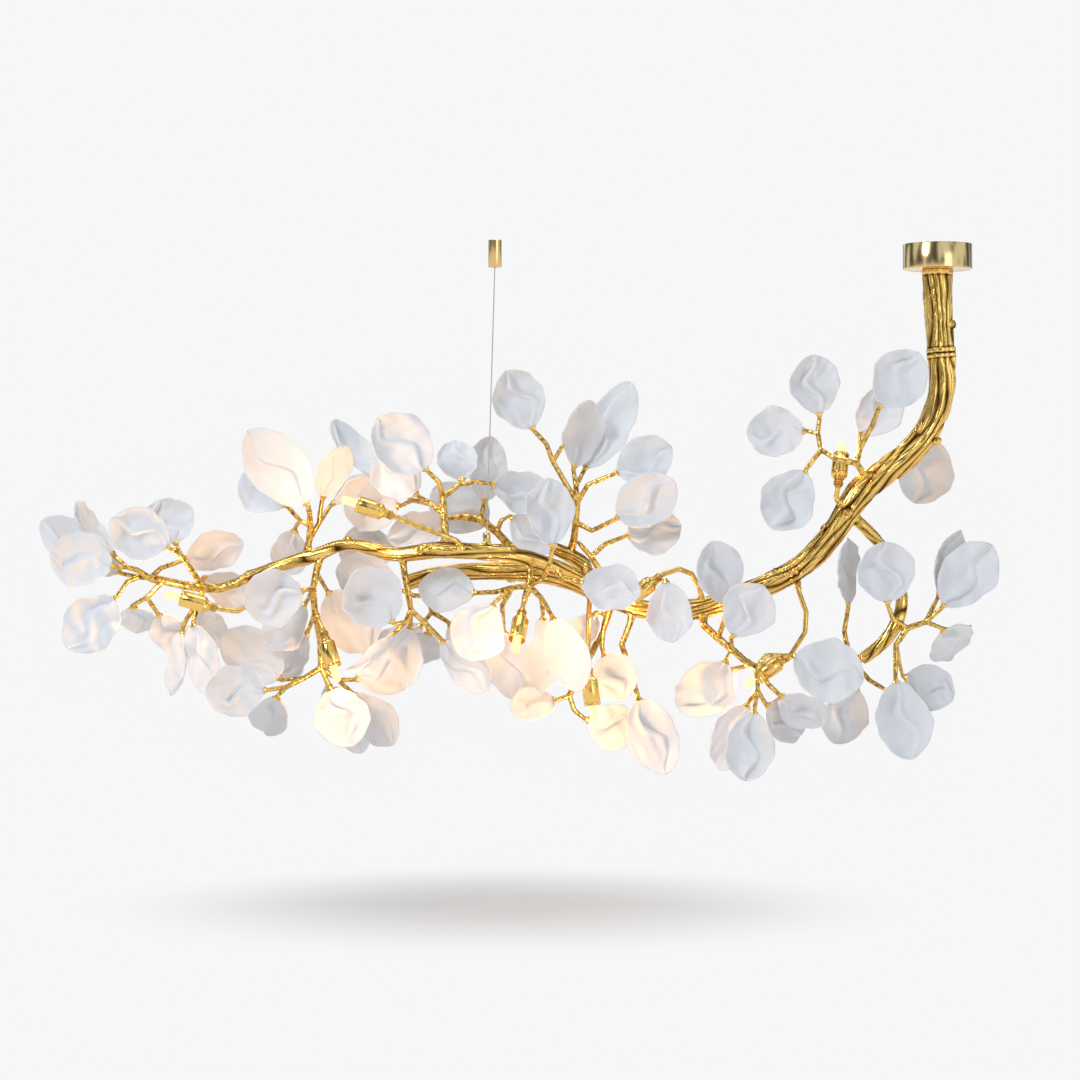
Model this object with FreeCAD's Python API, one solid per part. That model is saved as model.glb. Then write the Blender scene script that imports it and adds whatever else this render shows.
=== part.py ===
"""Branch chandelier: cast brass boughs on a ceiling canopy and one suspension wire, with porcelain petals
and eight small lamps. Millimetres, +Z up, origin at the centre of the canopy's ceiling face, +X to the right
and -Y towards the viewer. Every route below is measured from the centre of the canopy's underside.
"""
import FreeCAD
import Part

import math
import os
from collections import namedtuple

from FreeCAD import Vector

# Canopy and ceiling fixing
CANOPY_D = 110.0
CANOPY_H = 40.0
CANOPY_WALL = 1.5
CANOPY_SIDES = 40
BRACKET_W = 26.0
BRACKET_T = 4.0
BRACKET_TAB = 17.0
BRACKET_SLOT_SPACING = 74.0
BRACKET_SLOT_W = 5.5
BRACKET_SLOT_L = 12.0
BRACKET_GAP = 0.4
NIPPLE_D = 16.0
NIPPLE_BORE = 10.0
NIPPLE_IN_STEM = 22.0
NIPPLE_SIDES = 12
NIPPLE_TOP = -2.0
BOSS_D = 25.0
BOSS_H = 12.0
LOCK_NUT_AF = 24.0
LOCK_NUT_H = 6.0
SIDE_SCREW_D = 4.0
SIDE_SCREW_L = 7.0
SIDE_SCREW_DROP = 12.0
SIDE_SCREW_PROUD = 0.3
TERMINAL = (14.0, 16.0, 13.0)
TERMINAL_GAP = 3.0
TERMINAL_ENTRY = (3.4, 4.0)
TERMINAL_ENTRY_RISE = 3.0
THREAD_FIT = 0.1

# Suspension wire
WIRE_D = 1.8
WIRE_TOP = (-707.0, -70.0)
WIRE_CUP_D = 21.0
WIRE_CUP_H = 43.0
WIRE_CUP_WALL = 1.4
WIRE_BASE_H = 14.0
WIRE_BASE_HOLE = 4.4
FERRULE_D = 7.0
FERRULE_H = 9.0
GRIPPER_D = 12.6
GRIPPER_H = 15.0
GRIPPER_BORE_DEPTH = 8.0
GRIPPER_CHAMFER = 2.0
WIRE_FOOT = (-720, -70, -452)
WIRE_FIT = 0.25
WIRE_SIDES = 12

# Castings: how each one seats on the next
SEAT_RISE = 2.5
SEAT_LIP = 1.2
SEAT_LEAD = 3.0
SPIGOT_SHARE = 0.45
SPIGOT_L = 7.0
SPIGOT_FIT = 0.15
SOCKET_END = 0.5
LIMB_SIDES = 8
FLUTE = 0.06
FLUTE_TWIST = 11.0
TWIG_SIDES = 5
SEAT_SIDES = 6
STUB_SIDES = 7
PEG_SIDES = 4
FLAT = 1e-9

# Petals and the cups that hold them
PETAL_T = 2.4
TAB_W = 10.4
TAB_END_W = 6.0
NECK_L = 4.0
CUP_L = 7.0
CUP_LIP = 1.7
CUP_FOOT = 3.4
CUP_FLOOR = 2.2
TAB_FIT = 0.15

# Lamps
SLEEVE_D = 27.0
SLEEVE_WALL = 1.5
SLEEVE_L = 40.0
SOCKET_NECK_D = 16.0
SOCKET_NECK_L = 20.0
SLEEVE_FLOOR = 4.0
SLEEVE_SIDES = 8
HOLDER_D = 21.0
HOLDER_H = 20.0
HOLDER_SLOT = (15.6, 6.2, 10.0)
BULB_BASE = (15.0, 5.6, 13.0)
BULB_D = 13.5
BULB_L = 41.0
BULB_TIP = 5.0
BULB_SIDES = 8
ARM_R = 4.2
ARM_SIDES = 6
ARM_COLLAR_L = 6.0

Limb = namedtuple("Limb", "route first last")
Cluster = namedtuple("Cluster", "owner at twigs")
Twig = namedtuple("Twig", "route root_r tip_r petal", defaults=[None])
Petal = namedtuple("Petal", "centre width roll form")
Form = namedtuple("Form", "cup bow crease wave")
Lamp = namedtuple("Lamp", "owner at arm start mouth")
Stub = namedtuple("Stub", "route at towards radius reach")
Seat = namedtuple("Seat", "face direction radius")

# How the porcelain is shaped: rim lift, bow along the length and crease depth as shares of the width,
# and how far the crease swings sideways as a share of the half width
FORMS = {
    "broad": Form(0.13, 0.10, 0.055, 0.30),
    "long": Form(0.17, 0.13, 0.060, 0.22),
    "curled": Form(0.30, 0.16, 0.070, 0.20),
}
# Stations along a blade: share of the length and share of the half width
OUTLINE = ((0.22, 0.80), (0.70, 0.98), (1.0, 0.40))

# Bough routes: x, y, z and radius
ROUTES = {
    "trunk": [
        (0, 0, 0, 22.5), (0, 0, -46, 21.5), (3, 0, -90, 21), (6, 0, -134, 23),
        (9, 0, -177, 22), (1, 0, -223, 22), (-22, 0, -270, 21.5), (-55, 0, -305, 21), (-92, 0, -329, 20.5),
        (-122, 0, -353, 21.5), (-145, 0, -386, 19), (-166, 0, -422, 19), (-193, 0, -454, 20.5),
        (-226, 0, -481, 19), (-262, 0, -500, 19), (-298, 0, -516, 18), (-335, 0, -529, 17),
        (-375, 4, -542, 16), (-412, 10, -547, 17), (-451, 17, -548, 16), (-485, 24, -542, 15.5),
        (-520, 30, -528, 15), (-555, 34, -512, 14.5), (-596, 34, -496, 14), (-636, 32, -488, 14),
        (-684, 31, -483, 13.5), (-733, 30, -483, 13), (-781, 29, -486, 13.5), (-816, 28, -492, 14),
        (-852, 26, -502, 12.5)],
    "front": [
        (-575, -18, -492, 11), (-612, -40, -476, 12.5), (-652, -56, -463, 13), (-686, -66, -456, 13.5),
        (*WIRE_FOOT, 13.5), (-754, -70, -450, 13), (-786, -64, -447, 14), (-821, -54, -450, 12.5),
        (-855, -46, -458, 11.5), (-885, -36, -453, 10.5), (-913, -26, -444, 9.5), (-939, -18, -438, 8.5),
        (-963, -10, -442, 10), (-985, -4, -455, 11), (-1010, 0, -462, 11.5), (-1042, 0, -470, 9.5),
        (-1074, 0, -481, 8.5), (-1103, 0, -492, 9.5)],
    "upper": [(-564, 62, -474, 12), (-587, 66, -456, 11.5), (-615, 66, -446, 10)],
    "right": [
        (-111, 12, -417, 9), (-84, 17, -444, 8.5), (-63, 14, -483, 8.5), (-54, 7, -526, 9.5),
        (-62, 0, -564, 11.5), (-80, -3, -590, 11), (-99, -5, -609, 10), (-122, -7, -623, 9)],
}

# Each casting is a stretch of one route, first and last point included
LIMBS = {
    "trunk_stem": Limb("trunk", 0, 3),
    "trunk_bend": Limb("trunk", 3, 9),
    "trunk_elbow": Limb("trunk", 9, 12),
    "trunk_foot": Limb("trunk", 12, 18),
    "main_limb": Limb("trunk", 18, 29),
    "front_limb": Limb("front", 0, 12),
    "left_limb": Limb("front", 12, 17),
    "upper_limb": Limb("upper", 0, 2),
    "right_limb": Limb("right", 0, 7),
}
# Boughs that grow from another: the route and the point of it that carries them
BRANCHING = {
    "front_limb": ("trunk", (-555, 34, -512)),
    "upper_limb": ("trunk", (-555, 34, -512)),
    "right_limb": ("trunk", (-145, 0, -386)),
}
# Knots and cut branch ends on the boughs
STUBS = [
    Stub("trunk", (3, 0, -90), (1.0, -0.4, 0.1), 6.5, 26),
    Stub("trunk", (-22, 0, -270), (1.0, -0.5, -0.3), 5.5, 29),
    Stub("trunk", (-145, 0, -386), (-0.2, -1.0, -0.3), 10, 23),
    Stub("trunk", (-166, 0, -422), (-1.0, -0.5, 0.4), 5.5, 24),
    Stub("trunk", (-226, 0, -481), (-0.3, -1.0, -0.3), 9, 23),
    Stub("trunk", (-262, 0, -500), (0.2, -0.5, 1.0), 5.5, 23),
    Stub("trunk", (-596, 34, -496), (-0.1, 0.2, 1.0), 6, 19),
    Stub("trunk", (-684, 31, -483), (0.1, 0.6, -1.0), 6.5, 18),
    Stub("front", (-821, -54, -450), (0.2, -1.0, 0.3), 8, 16),
    Stub("front", (-939, -18, -438), (-0.3, -0.4, 1.0), 4.5, 13),
    Stub("right", (-63, 14, -483), (1.0, -0.2, 0.2), 4.5, 13),
]

# Flower clusters: the bough route and point that carry each, then its twigs. The first twig grows from the
# seat and every other from a point of an earlier one. A petal is set by its middle, width, roll and form.
CLUSTERS = {
    "far_left": Cluster("front", (-1103, 0, -492), [
        Twig([(-1122, 0, -502), (-1148, 0, -510), (-1174, 0, -510), (-1207, 0, -505), (-1239, 0, -498), (-1260, 0, -494)], 8, 6),
        Twig([(-1260, 0, -494), (-1279, -4, -481), (-1296, -8, -476), (-1310, -12, -477)], 4.2, 3.2,
             Petal((-1367, -25, -463), 88, 0, "broad")),
        Twig([(-1260, 0, -494), (-1280, 8, -492), (-1304, 18, -489)], 4, 3,
             Petal((-1378, 36, -442), 78, 15, "broad")),
        Twig([(-1296, -8, -476), (-1315, 2, -462)], 3.2, 2.8,
             Petal((-1350, 6, -412), 58, 62, "long")),
        Twig([(-1174, 0, -510), (-1191, -14, -482), (-1205, -30, -460), (-1218, -42, -449)], 4.5, 3,
             Petal((-1270, -56, -422), 86, -10, "broad")),
        Twig([(-1205, -30, -460), (-1214, -14, -447)], 3.4, 2.8,
             Petal((-1231, -2, -402), 86, 20, "broad")),
        Twig([(-1260, 0, -494), (-1244, 12, -478), (-1215, 26, -467)], 4, 3,
             Petal((-1161, 44, -451), 68, 25, "long")),
        Twig([(-1174, 0, -510), (-1179, 22, -499), (-1184, 36, -490)], 4, 3,
             Petal((-1136, 52, -515), 62, 20, "long")),
        Twig([(-1239, 0, -498), (-1264, -6, -525), (-1288, -4, -535)], 4, 3,
             Petal((-1286, 36, -562), 60, 0, "broad")),
        Twig([(-1280, 8, -492), (-1296, -6, -500), (-1307, -20, -519)], 3.6, 2.8,
             Petal((-1349, -34, -566), 86, 5, "broad")),
        Twig([(-1264, -6, -525), (-1252, 12, -547)], 3.2, 2.8,
             Petal((-1231, 40, -583), 66, 15, "broad")),
        Twig([(-1174, 0, -510), (-1181, -4, -532), (-1190, -14, -560)], 4.5, 3,
             Petal((-1175, -26, -624), 64, 30, "long")),
        Twig([(-1181, -4, -532), (-1201, 2, -558), (-1208, 6, -571)], 3.6, 2.8,
             Petal((-1221, 18, -632), 72, 62, "broad")),
        Twig([(-1181, -4, -532), (-1178, 22, -537)], 3.4, 2.8,
             Petal((-1172, 56, -578), 62, 0, "broad")),
    ]),
    "upper_left": Cluster("front", (-1010, 0, -462), [
        Twig([(-1005, -4, -433), (-1002, -10, -410), (-1002, -26, -382)], 5.5, 4,
             Petal((-1053, -46, -317), 92, 0, "broad")),
        Twig([(-1002, -10, -410), (-1020, -4, -402), (-1036, 4, -383)], 3.8, 3,
             Petal((-1079, 14, -351), 84, 10, "broad")),
        Twig([(-1020, -4, -402), (-1028, 14, -410)], 3.2, 2.8,
             Petal((-1039, 38, -454), 64, 15, "long")),
        Twig([(-1005, -4, -433), (-990, 4, -406), (-987, 8, -372)], 4.2, 3,
             Petal((-964, -6, -322), 62, 38, "long")),
        Twig([(-990, 4, -406), (-976, 30, -380)], 3.4, 2.8,
             Petal((-940, 30, -350), 42, 62, "curled")),
    ]),
    "top_left": Cluster("front", (-786, -64, -447), [
        Twig([(-786, -58, -417), (-788, -50, -392), (-790, -44, -365)], 6, 4.8),
        Twig([(-790, -44, -365), (-796, -50, -341), (-810, -56, -328)], 4.2, 3,
             Petal((-854, -68, -280), 92, 0, "broad")),
        Twig([(-790, -44, -365), (-773, -34, -352), (-759, -24, -344)], 4.2, 3.4,
             Petal((-768, 14, -304), 66, 10, "broad")),
        Twig([(-759, -24, -344), (-738, -18, -340), (-719, -10, -342)], 3.4, 2.8,
             Petal((-662, 4, -356), 72, -20, "long")),
        Twig([(-788, -50, -392), (-808, -34, -376), (-827, -16, -366)], 4.2, 3.2,
             Petal((-866, 2, -329), 80, 10, "broad")),
        Twig([(-808, -34, -376), (-841, 14, -369), (-868, 48, -346)], 3.6, 2.8,
             Petal((-925, 80, -288), 70, 50, "long")),
        Twig([(-841, 14, -369), (-856, 36, -377)], 3.2, 2.8,
             Petal((-911, 62, -381), 78, 0, "broad")),
    ]),
    "rear_top": Cluster("upper", (-615, 66, -446), [
        Twig([(-649, 68, -443), (-685, 70, -443), (-706, 70, -420), (-733, 70, -400), (-763, 68, -395)], 8.5, 5),
        Twig([(-763, 68, -395), (-782, 66, -397)], 4.5, 3.2,
             Petal((-837, 62, -417), 64, 20, "long")),
        Twig([(-706, 70, -420), (-714, 88, -410)], 3.8, 3,
             Petal((-769, 108, -380), 86, 10, "broad")),
        Twig([(-706, 70, -420), (-699, 60, -402), (-688, 52, -391)], 4, 3,
             Petal((-646, 40, -423), 70, -10, "long")),
        Twig([(-733, 70, -400), (-727, 80, -377)], 3.8, 3,
             Petal((-721, 96, -315), 72, 25, "long")),
        Twig([(-685, 70, -443), (-831, 84, -446), (-864, 94, -446)], 3.8, 3,
             Petal((-920, 100, -448), 78, 0, "broad")),
    ]),
    "top_middle": Cluster("upper", (-587, 66, -456), [
        Twig([(-581, 56, -433), (-578, 50, -404), (-576, 44, -373)], 6, 4.8),
        Twig([(-576, 44, -373), (-594, 36, -343), (-615, 30, -307), (-626, 26, -278), (-644, 22, -261)], 4.4, 3,
             Petal((-670, 10, -207), 84, 10, "broad")),
        Twig([(-615, 30, -307), (-599, 24, -280)], 3.2, 2.6),
        Twig([(-576, 44, -373), (-578, 44, -347), (-583, 48, -323)], 4.2, 3.2,
             Petal((-566, 50, -260), 78, 35, "broad")),
        Twig([(-578, 44, -347), (-566, 62, -323)], 3.4, 2.8,
             Petal((-525, 84, -244), 78, -15, "broad")),
        Twig([(-576, 44, -373), (-559, 36, -344), (-520, 26, -328)], 4, 3,
             Petal((-468, 14, -304), 78, -10, "long")),
        Twig([(-578, 50, -404), (-552, 38, -418), (-519, 20, -402)], 4, 3,
             Petal((-465, 2, -369), 84, 0, "broad")),
    ]),
    "top_right": Cluster("trunk", (-520, 30, -528), [
        Twig([(-532, 27, -493), (-554, 24, -460)], 5.5, 4.2),
        Twig([(-554, 24, -460), (-531, 26, -439), (-504, 28, -428)], 4, 3,
             Petal((-451, 32, -418), 76, 0, "long")),
        Twig([(-554, 24, -460), (-575, 10, -436)], 3.6, 2.8),
    ]),
    "lower_left": Cluster("front", (-985, -4, -455), [
        Twig([(-993, -14, -484), (-998, -18, -512), (-995, -14, -548), (-987, -8, -593), (-986, -4, -637)], 5.2, 4.6),
        Twig([(-986, -4, -637), (-1012, -14, -653), (-1040, -24, -667), (-1064, -30, -671)], 4.2, 3,
             Petal((-1120, -44, -672), 82, 0, "broad")),
        Twig([(-1040, -24, -667), (-1054, -10, -679)], 3.2, 2.8,
             Petal((-1071, 30, -715), 66, 0, "curled")),
        Twig([(-1012, -14, -653), (-1046, 2, -660)], 3.4, 2.8,
             Petal((-1099, 18, -617), 86, 10, "broad")),
        Twig([(-986, -4, -637), (-975, 2, -663)], 4.2, 3,
             Petal((-953, 4, -718), 88, 0, "broad")),
        Twig([(-986, -4, -637), (-960, 8, -657), (-939, 16, -658)], 3.8, 3,
             Petal((-885, 26, -645), 78, -10, "broad")),
        Twig([(-960, 8, -657), (-942, 26, -674)], 3.4, 2.8,
             Petal((-904, 38, -723), 72, 15, "broad")),
        Twig([(-986, -4, -637), (-980, 26, -660)], 3.4, 2.8,
             Petal((-952, 76, -726), 66, 10, "curled")),
        Twig([(-993, -14, -484), (-981, 20, -510)], 3.4, 2.8,
             Petal((-943, 46, -565), 92, 0, "broad")),
        Twig([(-998, -18, -512), (-1004, -36, -511)], 3.4, 2.8,
             Petal((-1058, -58, -524), 92, 0, "broad")),
        Twig([(-998, -18, -512), (-1007, 2, -529)], 3.4, 2.8,
             Petal((-1044, 4, -571), 76, 20, "broad")),
        Twig([(-995, -14, -548), (-1006, 14, -576)], 3.4, 2.8,
             Petal((-1038, 52, -618), 66, 25, "long")),
    ]),
    "middle_left": Cluster("front", (-855, -46, -458), [
        Twig([(-850, -52, -487), (-845, -54, -515), (-840, -54, -544)], 5, 4),
        Twig([(-840, -54, -544), (-848, -64, -562), (-863, -76, -568)], 3.8, 3,
             Petal((-899, -96, -522), 98, 0, "broad")),
        Twig([(-840, -54, -544), (-816, -50, -566), (-796, -44, -587)], 4, 3,
             Petal((-754, -36, -633), 74, 35, "broad")),
        Twig([(-816, -50, -566), (-812, -30, -576)], 3.2, 2.8,
             Petal((-822, 8, -604), 66, 0, "broad")),
        Twig([(-840, -54, -544), (-841, -36, -563)], 3.6, 2.8,
             Petal((-850, -20, -621), 66, 35, "long")),
        Twig([(-848, -64, -562), (-861, -48, -575)], 3.2, 2.8,
             Petal((-906, -40, -614), 66, 78, "broad")),
    ]),
    "lower_end": Cluster("trunk", (-816, 28, -492), [
        Twig([(-816, 34, -523), (-810, 36, -549)], 5, 4),
        Twig([(-810, 36, -549), (-788, 40, -562)], 3.6, 3,
             Petal((-736, 52, -614), 84, 10, "broad")),
        Twig([(-816, 34, -523), (-840, 52, -523), (-860, 62, -514)], 3.8, 3,
             Petal((-918, 68, -494), 84, -10, "broad")),
        Twig([(-810, 36, -549), (-823, 46, -565)], 3.4, 2.8,
             Petal((-866, 60, -611), 76, 15, "broad")),
    ]),
    "middle": Cluster("front", (-652, -56, -463), [
        Twig([(-652, -66, -486), (-653, -72, -505)], 6, 5),
        Twig([(-653, -72, -505), (-680, -76, -508), (-705, -82, -527)], 4.4, 3,
             Petal((-733, -98, -577), 88, 0, "broad")),
        Twig([(-680, -76, -508), (-706, -60, -515), (-731, -46, -517)], 3.8, 3,
             Petal((-785, -30, -512), 76, 20, "broad")),
        Twig([(-653, -72, -505), (-634, -76, -524), (-619, -80, -548)], 4.4, 3,
             Petal((-594, -86, -614), 74, 20, "long")),
        Twig([(-634, -76, -524), (-631, -56, -548)], 3.4, 2.8,
             Petal((-633, -40, -617), 66, 45, "long")),
        Twig([(-653, -72, -505), (-633, -90, -494), (-620, -102, -470), (-616, -108, -450)], 4, 3,
             Petal((-620, -116, -388), 78, 15, "broad")),
        Twig([(-680, -76, -508), (-696, -34, -537), (-695, -12, -573)], 4, 3,
             Petal((-681, 12, -637), 80, 5, "broad")),
    ]),
    "lower_middle": Cluster("trunk", (-520, 30, -528), [
        Twig([(-527, 26, -555), (-535, 20, -577), (-552, 22, -613), (-578, 18, -658), (-589, 12, -683)], 5.5, 4.4),
        Twig([(-535, 20, -577), (-537, 8, -601), (-537, 4, -609)], 4, 3,
             Petal((-516, -8, -652), 80, 15, "broad")),
        Twig([(-527, 26, -555), (-543, 12, -545)], 3.8, 3,
             Petal((-570, -4, -583), 66, 40, "long")),
        Twig([(-589, 12, -683), (-581, 16, -706), (-568, 22, -719)], 3.8, 3,
             Petal((-520, 30, -734), 76, -10, "broad")),
        Twig([(-589, 12, -683), (-604, 6, -688)], 3.4, 2.8,
             Petal((-649, -10, -695), 56, 20, "long")),
    ]),
    "lower_right": Cluster("trunk", (-485, 24, -542), [
        Twig([(-493, 16, -571), (-505, 8, -601), (-492, 0, -641), (-481, -6, -679)], 5.2, 3.4,
             Petal((-456, -16, -747), 80, 0, "broad")),
    ]),
    "front_right": Cluster("trunk", (-451, 17, -548), [
        Twig([(-432, -20, -530), (-431, -42, -508)], 5, 4),
        Twig([(-431, -42, -508), (-438, -52, -490)], 3.6, 3,
             Petal((-432, -66, -547), 74, 15, "broad")),
    ]),
    "front_middle": Cluster("front", (-612, -40, -476), [
        Twig([(-601, -58, -493), (-579, -66, -496)], 4.6, 3.2,
             Petal((-523, -74, -508), 84, -32, "broad")),
    ]),
    "trunk_front": Cluster("trunk", (-375, 4, -542), [
        Twig([(-374, -12, -570), (-353, -32, -589), (-332, -46, -606), (-313, -54, -623), (-293, -58, -635)], 6, 4.8),
        Twig([(-353, -32, -589), (-346, -48, -566), (-340, -54, -542)], 4, 3,
             Petal((-352, -60, -483), 78, 15, "broad")),
        Twig([(-332, -46, -606), (-336, -66, -591)], 3.8, 3,
             Petal((-309, -84, -543), 86, 0, "broad")),
        Twig([(-332, -46, -606), (-338, -30, -618)], 3.4, 2.8,
             Petal((-350, -14, -663), 70, 40, "long")),
        Twig([(-313, -54, -623), (-306, -18, -634), (-318, 12, -636)], 3.6, 2.8,
             Petal((-369, 32, -674), 84, 0, "broad")),
        Twig([(-293, -58, -635), (-293, -62, -670), (-297, -64, -695)], 4.2, 3,
             Petal((-305, -70, -759), 78, 10, "broad")),
        Twig([(-293, -62, -670), (-304, -38, -687)], 3.4, 2.8,
             Petal((-329, -22, -748), 74, 25, "broad")),
        Twig([(-293, -58, -635), (-278, -54, -615), (-243, -50, -615)], 4.2, 3,
             Petal((-181, -66, -638), 100, 0, "broad")),
        Twig([(-293, -62, -670), (-281, -40, -690)], 3.6, 3,
             Petal((-245, -16, -720), 72, -20, "long")),
        Twig([(-293, -58, -635), (-275, -56, -661), (-261, -52, -675)], 3.8, 3,
             Petal((-219, -34, -705), 74, 35, "broad")),
    ]),
    "trunk_top": Cluster("trunk", (-92, 0, -329), [
        Twig([(-122, -40, -328), (-135, -48, -311)], 5.4, 4.6),
        Twig([(-135, -48, -311), (-167, -50, -305), (-190, -40, -290), (-194, -28, -264), (-190, -20, -242)], 4.4, 3,
             Petal((-198, -26, -185), 82, 10, "broad")),
        Twig([(-194, -28, -264), (-206, -20, -259)], 3.2, 2.8,
             Petal((-261, -10, -260), 80, 0, "broad")),
        Twig([(-190, -40, -290), (-212, -52, -316)], 3.6, 3,
             Petal((-244, -62, -370), 88, 0, "broad")),
        Twig([(-135, -48, -311), (-127, -30, -287), (-129, -14, -270)], 4.2, 3,
             Petal((-92, 4, -228), 72, -15, "broad")),
        Twig([(-127, -30, -287), (-111, -42, -255), (-102, -48, -228)], 3.8, 3,
             Petal((-67, -56, -178), 88, 0, "broad")),
    ]),
    "trunk_back": Cluster("trunk", (-22, 0, -270), [
        Twig([(-1, 34, -256), (9, 48, -265)], 4.6, 3.2,
             Petal((-11, 58, -324), 90, 0, "broad")),
    ]),
    "right_end": Cluster("right", (-122, -7, -623), [
        Twig([(-144, -8, -609), (-150, -8, -580), (-144, -10, -545)], 4.6, 3,
             Petal((-143, -12, -482), 78, 60, "broad")),
        Twig([(-144, -8, -609), (-126, 8, -638), (-124, 16, -664)], 4.2, 3,
             Petal((-146, 20, -717), 74, 0, "broad")),
        Twig([(-126, 8, -638), (-108, 0, -658), (-86, -6, -671)], 3.6, 2.8),
    ]),
    "right_fork": Cluster("right", (-62, 0, -564), [
        Twig([(-55, -22, -576), (-52, -30, -573)], 5.4, 4.8),
        Twig([(-52, -30, -573), (-76, -38, -558), (-84, -42, -541)], 4, 3,
             Petal((-88, -50, -483), 92, 0, "broad")),
        Twig([(-52, -30, -573), (-71, -36, -600), (-73, -42, -648)], 4.6, 3.2,
             Petal((-60, -52, -719), 88, 0, "broad")),
        Twig([(-71, -36, -600), (-62, -20, -648)], 3.4, 2.8,
             Petal((-13, -6, -668), 74, -10, "broad")),
        Twig([(-52, -30, -573), (-23, -34, -563), (-1, -38, -544)], 4.6, 3,
             Petal((42, -46, -488), 88, 0, "broad")),
        Twig([(-23, -34, -563), (-3, -18, -528)], 3.6, 2.8,
             Petal((20, -2, -468), 64, 45, "long")),
        Twig([(-23, -34, -563), (5, -16, -572)], 3.6, 2.8,
             Petal((24, 30, -597), 84, 0, "broad")),
    ]),
}

# Clusters of one or two twigs share a node, and neighbouring clusters share a node of petals
SHORT_TWIGS = ("top_right", "lower_right", "front_right", "front_middle", "trunk_back")
PETAL_GROUPS = {
    "far_left": ("far_left",),
    "upper_left": ("upper_left", "top_left"),
    "lower_left": ("lower_left",),
    "top": ("rear_top", "top_middle", "top_right"),
    "middle_left": ("middle_left", "lower_end"),
    "middle": ("middle", "front_middle"),
    "lower_middle": ("lower_middle", "lower_right", "front_right"),
    "trunk_front": ("trunk_front",),
    "trunk_top": ("trunk_top", "trunk_back"),
    "right": ("right_fork", "right_end"),
}

# Lamps: what carries the arm and where, the arm's bends, and the sleeve's foot and mouth
LAMPS = {
    "front": Lamp("front", (-754, -70, -450), [(-768, -92, -433), (-796, -98, -422), (-827, -100, -411)],
                  (-866, -100, -395), (-923, -102, -376)),
    "lower_left": Lamp("lower_left", (-995, -14, -548), [(-988, -34, -562)], (-980, -46, -577), (-962, -58, -634)),
    "far_left": Lamp("front", (-1074, 0, -481), [(-1077, -22, -506), (-1094, -34, -534), (-1117, -36, -546)],
                     (-1149, -37, -541), (-1206, -38, -525)),
    "middle": Lamp("middle", (-653, -72, -505), [(-660, -73, -526)], (-664, -84, -544), (-672, -124, -588)),
    "lower_middle": Lamp("trunk", (-555, 34, -512), [(-559, -26, -560), (-560, -46, -600)],
                         (-560, -52, -635), (-553, -54, -693)),
    "gooseneck": Lamp("trunk", (-375, 4, -542), [(-381, -10, -509), (-394, -16, -487), (-414, -19, -479)],
                      (-443, -20, -490), (-491, -20, -525)),
    "trunk_foot": Lamp("trunk", (-226, 0, -481), [(-222, -4, -516), (-211, -10, -548), (-213, -14, -580)],
                       (-240, -18, -618), (-293, -20, -654)),
    "trunk_top": Lamp("trunk", (-145, 0, -386), [(-164, -14, -366)], (-161, -20, -346), (-153, 12, -298)),
}


def place(point):
    """A route point as a vector in the part's frame, hung from the canopy's underside."""
    return Vector(point[0], point[1], point[2] - CANOPY_H)


def unit(vector):
    """The vector's direction."""
    return Vector(vector).normalize()


def square_to(direction, wanted):
    """The part of the wanted direction that is square to the given one, or another square one."""
    side = wanted - direction * wanted.dot(direction)
    if side.Length < 0.05:
        side = Vector(1, 0, 0) - direction * direction.x
    return side.normalize()


def prism_ring(centre, direction, radius, sides, side=Vector(0, -1, 0), turn=0.0, flute=0.0):
    """Corners of one fluted section, square to the direction."""
    u = square_to(direction, side)
    v = direction.cross(u)
    corners = []
    for k in range(sides):
        a = math.radians(turn) + 2 * math.pi * k / sides
        r = radius * (1 + flute * (-1) ** k)
        corners.append(centre + u * (r * math.cos(a)) + v * (r * math.sin(a)))
    return corners


def flat_face(corners):
    """Plane face with the given corners."""
    return Part.Face(Part.makePolygon(corners + corners[:1]))


def is_flat(corners):
    """Whether four corners lie in one plane."""
    a, b, c = (corner - corners[0] for corner in corners[1:])
    return abs(a.cross(b).dot(c)) < FLAT * a.Length * b.Length * c.Length


def faceted(rings):
    """Solid skinned over matching rings of corners, closed by a flat face at each end."""
    count = len(rings[0])
    faces = []
    for low, high in zip(rings, rings[1:]):
        for k in range(count):
            j = (k + 1) % count
            corners = [low[k], low[j], high[j], high[k]]
            if is_flat(corners):
                faces.append(flat_face(corners))
            else:
                faces.append(flat_face(corners[:3]))
                faces.append(flat_face([corners[0], corners[2], corners[3]]))
    faces.append(flat_face(rings[0]))
    faces.append(flat_face(rings[-1]))
    shell = Part.makeShell(faces)
    shell.sewShape()
    solid = Part.makeSolid(shell)
    if solid.Volume < 0:
        solid.reverse()
    return solid


def tangents(points):
    """Direction of a route at each of its points: the middle one where two runs meet."""
    runs = [unit(b - a) for a, b in zip(points, points[1:])]
    middles = [unit(a + b) for a, b in zip(runs, runs[1:])]
    return [runs[0]] + middles + [runs[-1]]


def route_rings(points, radii, sides, flute=0.0, twist=0.0):
    """Sections along a route, each carried on from the last so that the skin doesn't wind."""
    rings = []
    side = Vector(0, -1, 0)
    for index, (point, direction, radius) in enumerate(zip(points, tangents(points), radii)):
        side = square_to(direction, side)
        rings.append(prism_ring(point, direction, radius, sides, side, twist * index, flute))
    return rings


def route_points(name):
    """Centre line of a bough route, in the object's frame."""
    return [place(p) for p in ROUTES[name]]


def index_on(route, at):
    """Which point of a route is meant."""
    return [p[:3] for p in ROUTES[route]].index(at)


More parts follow.
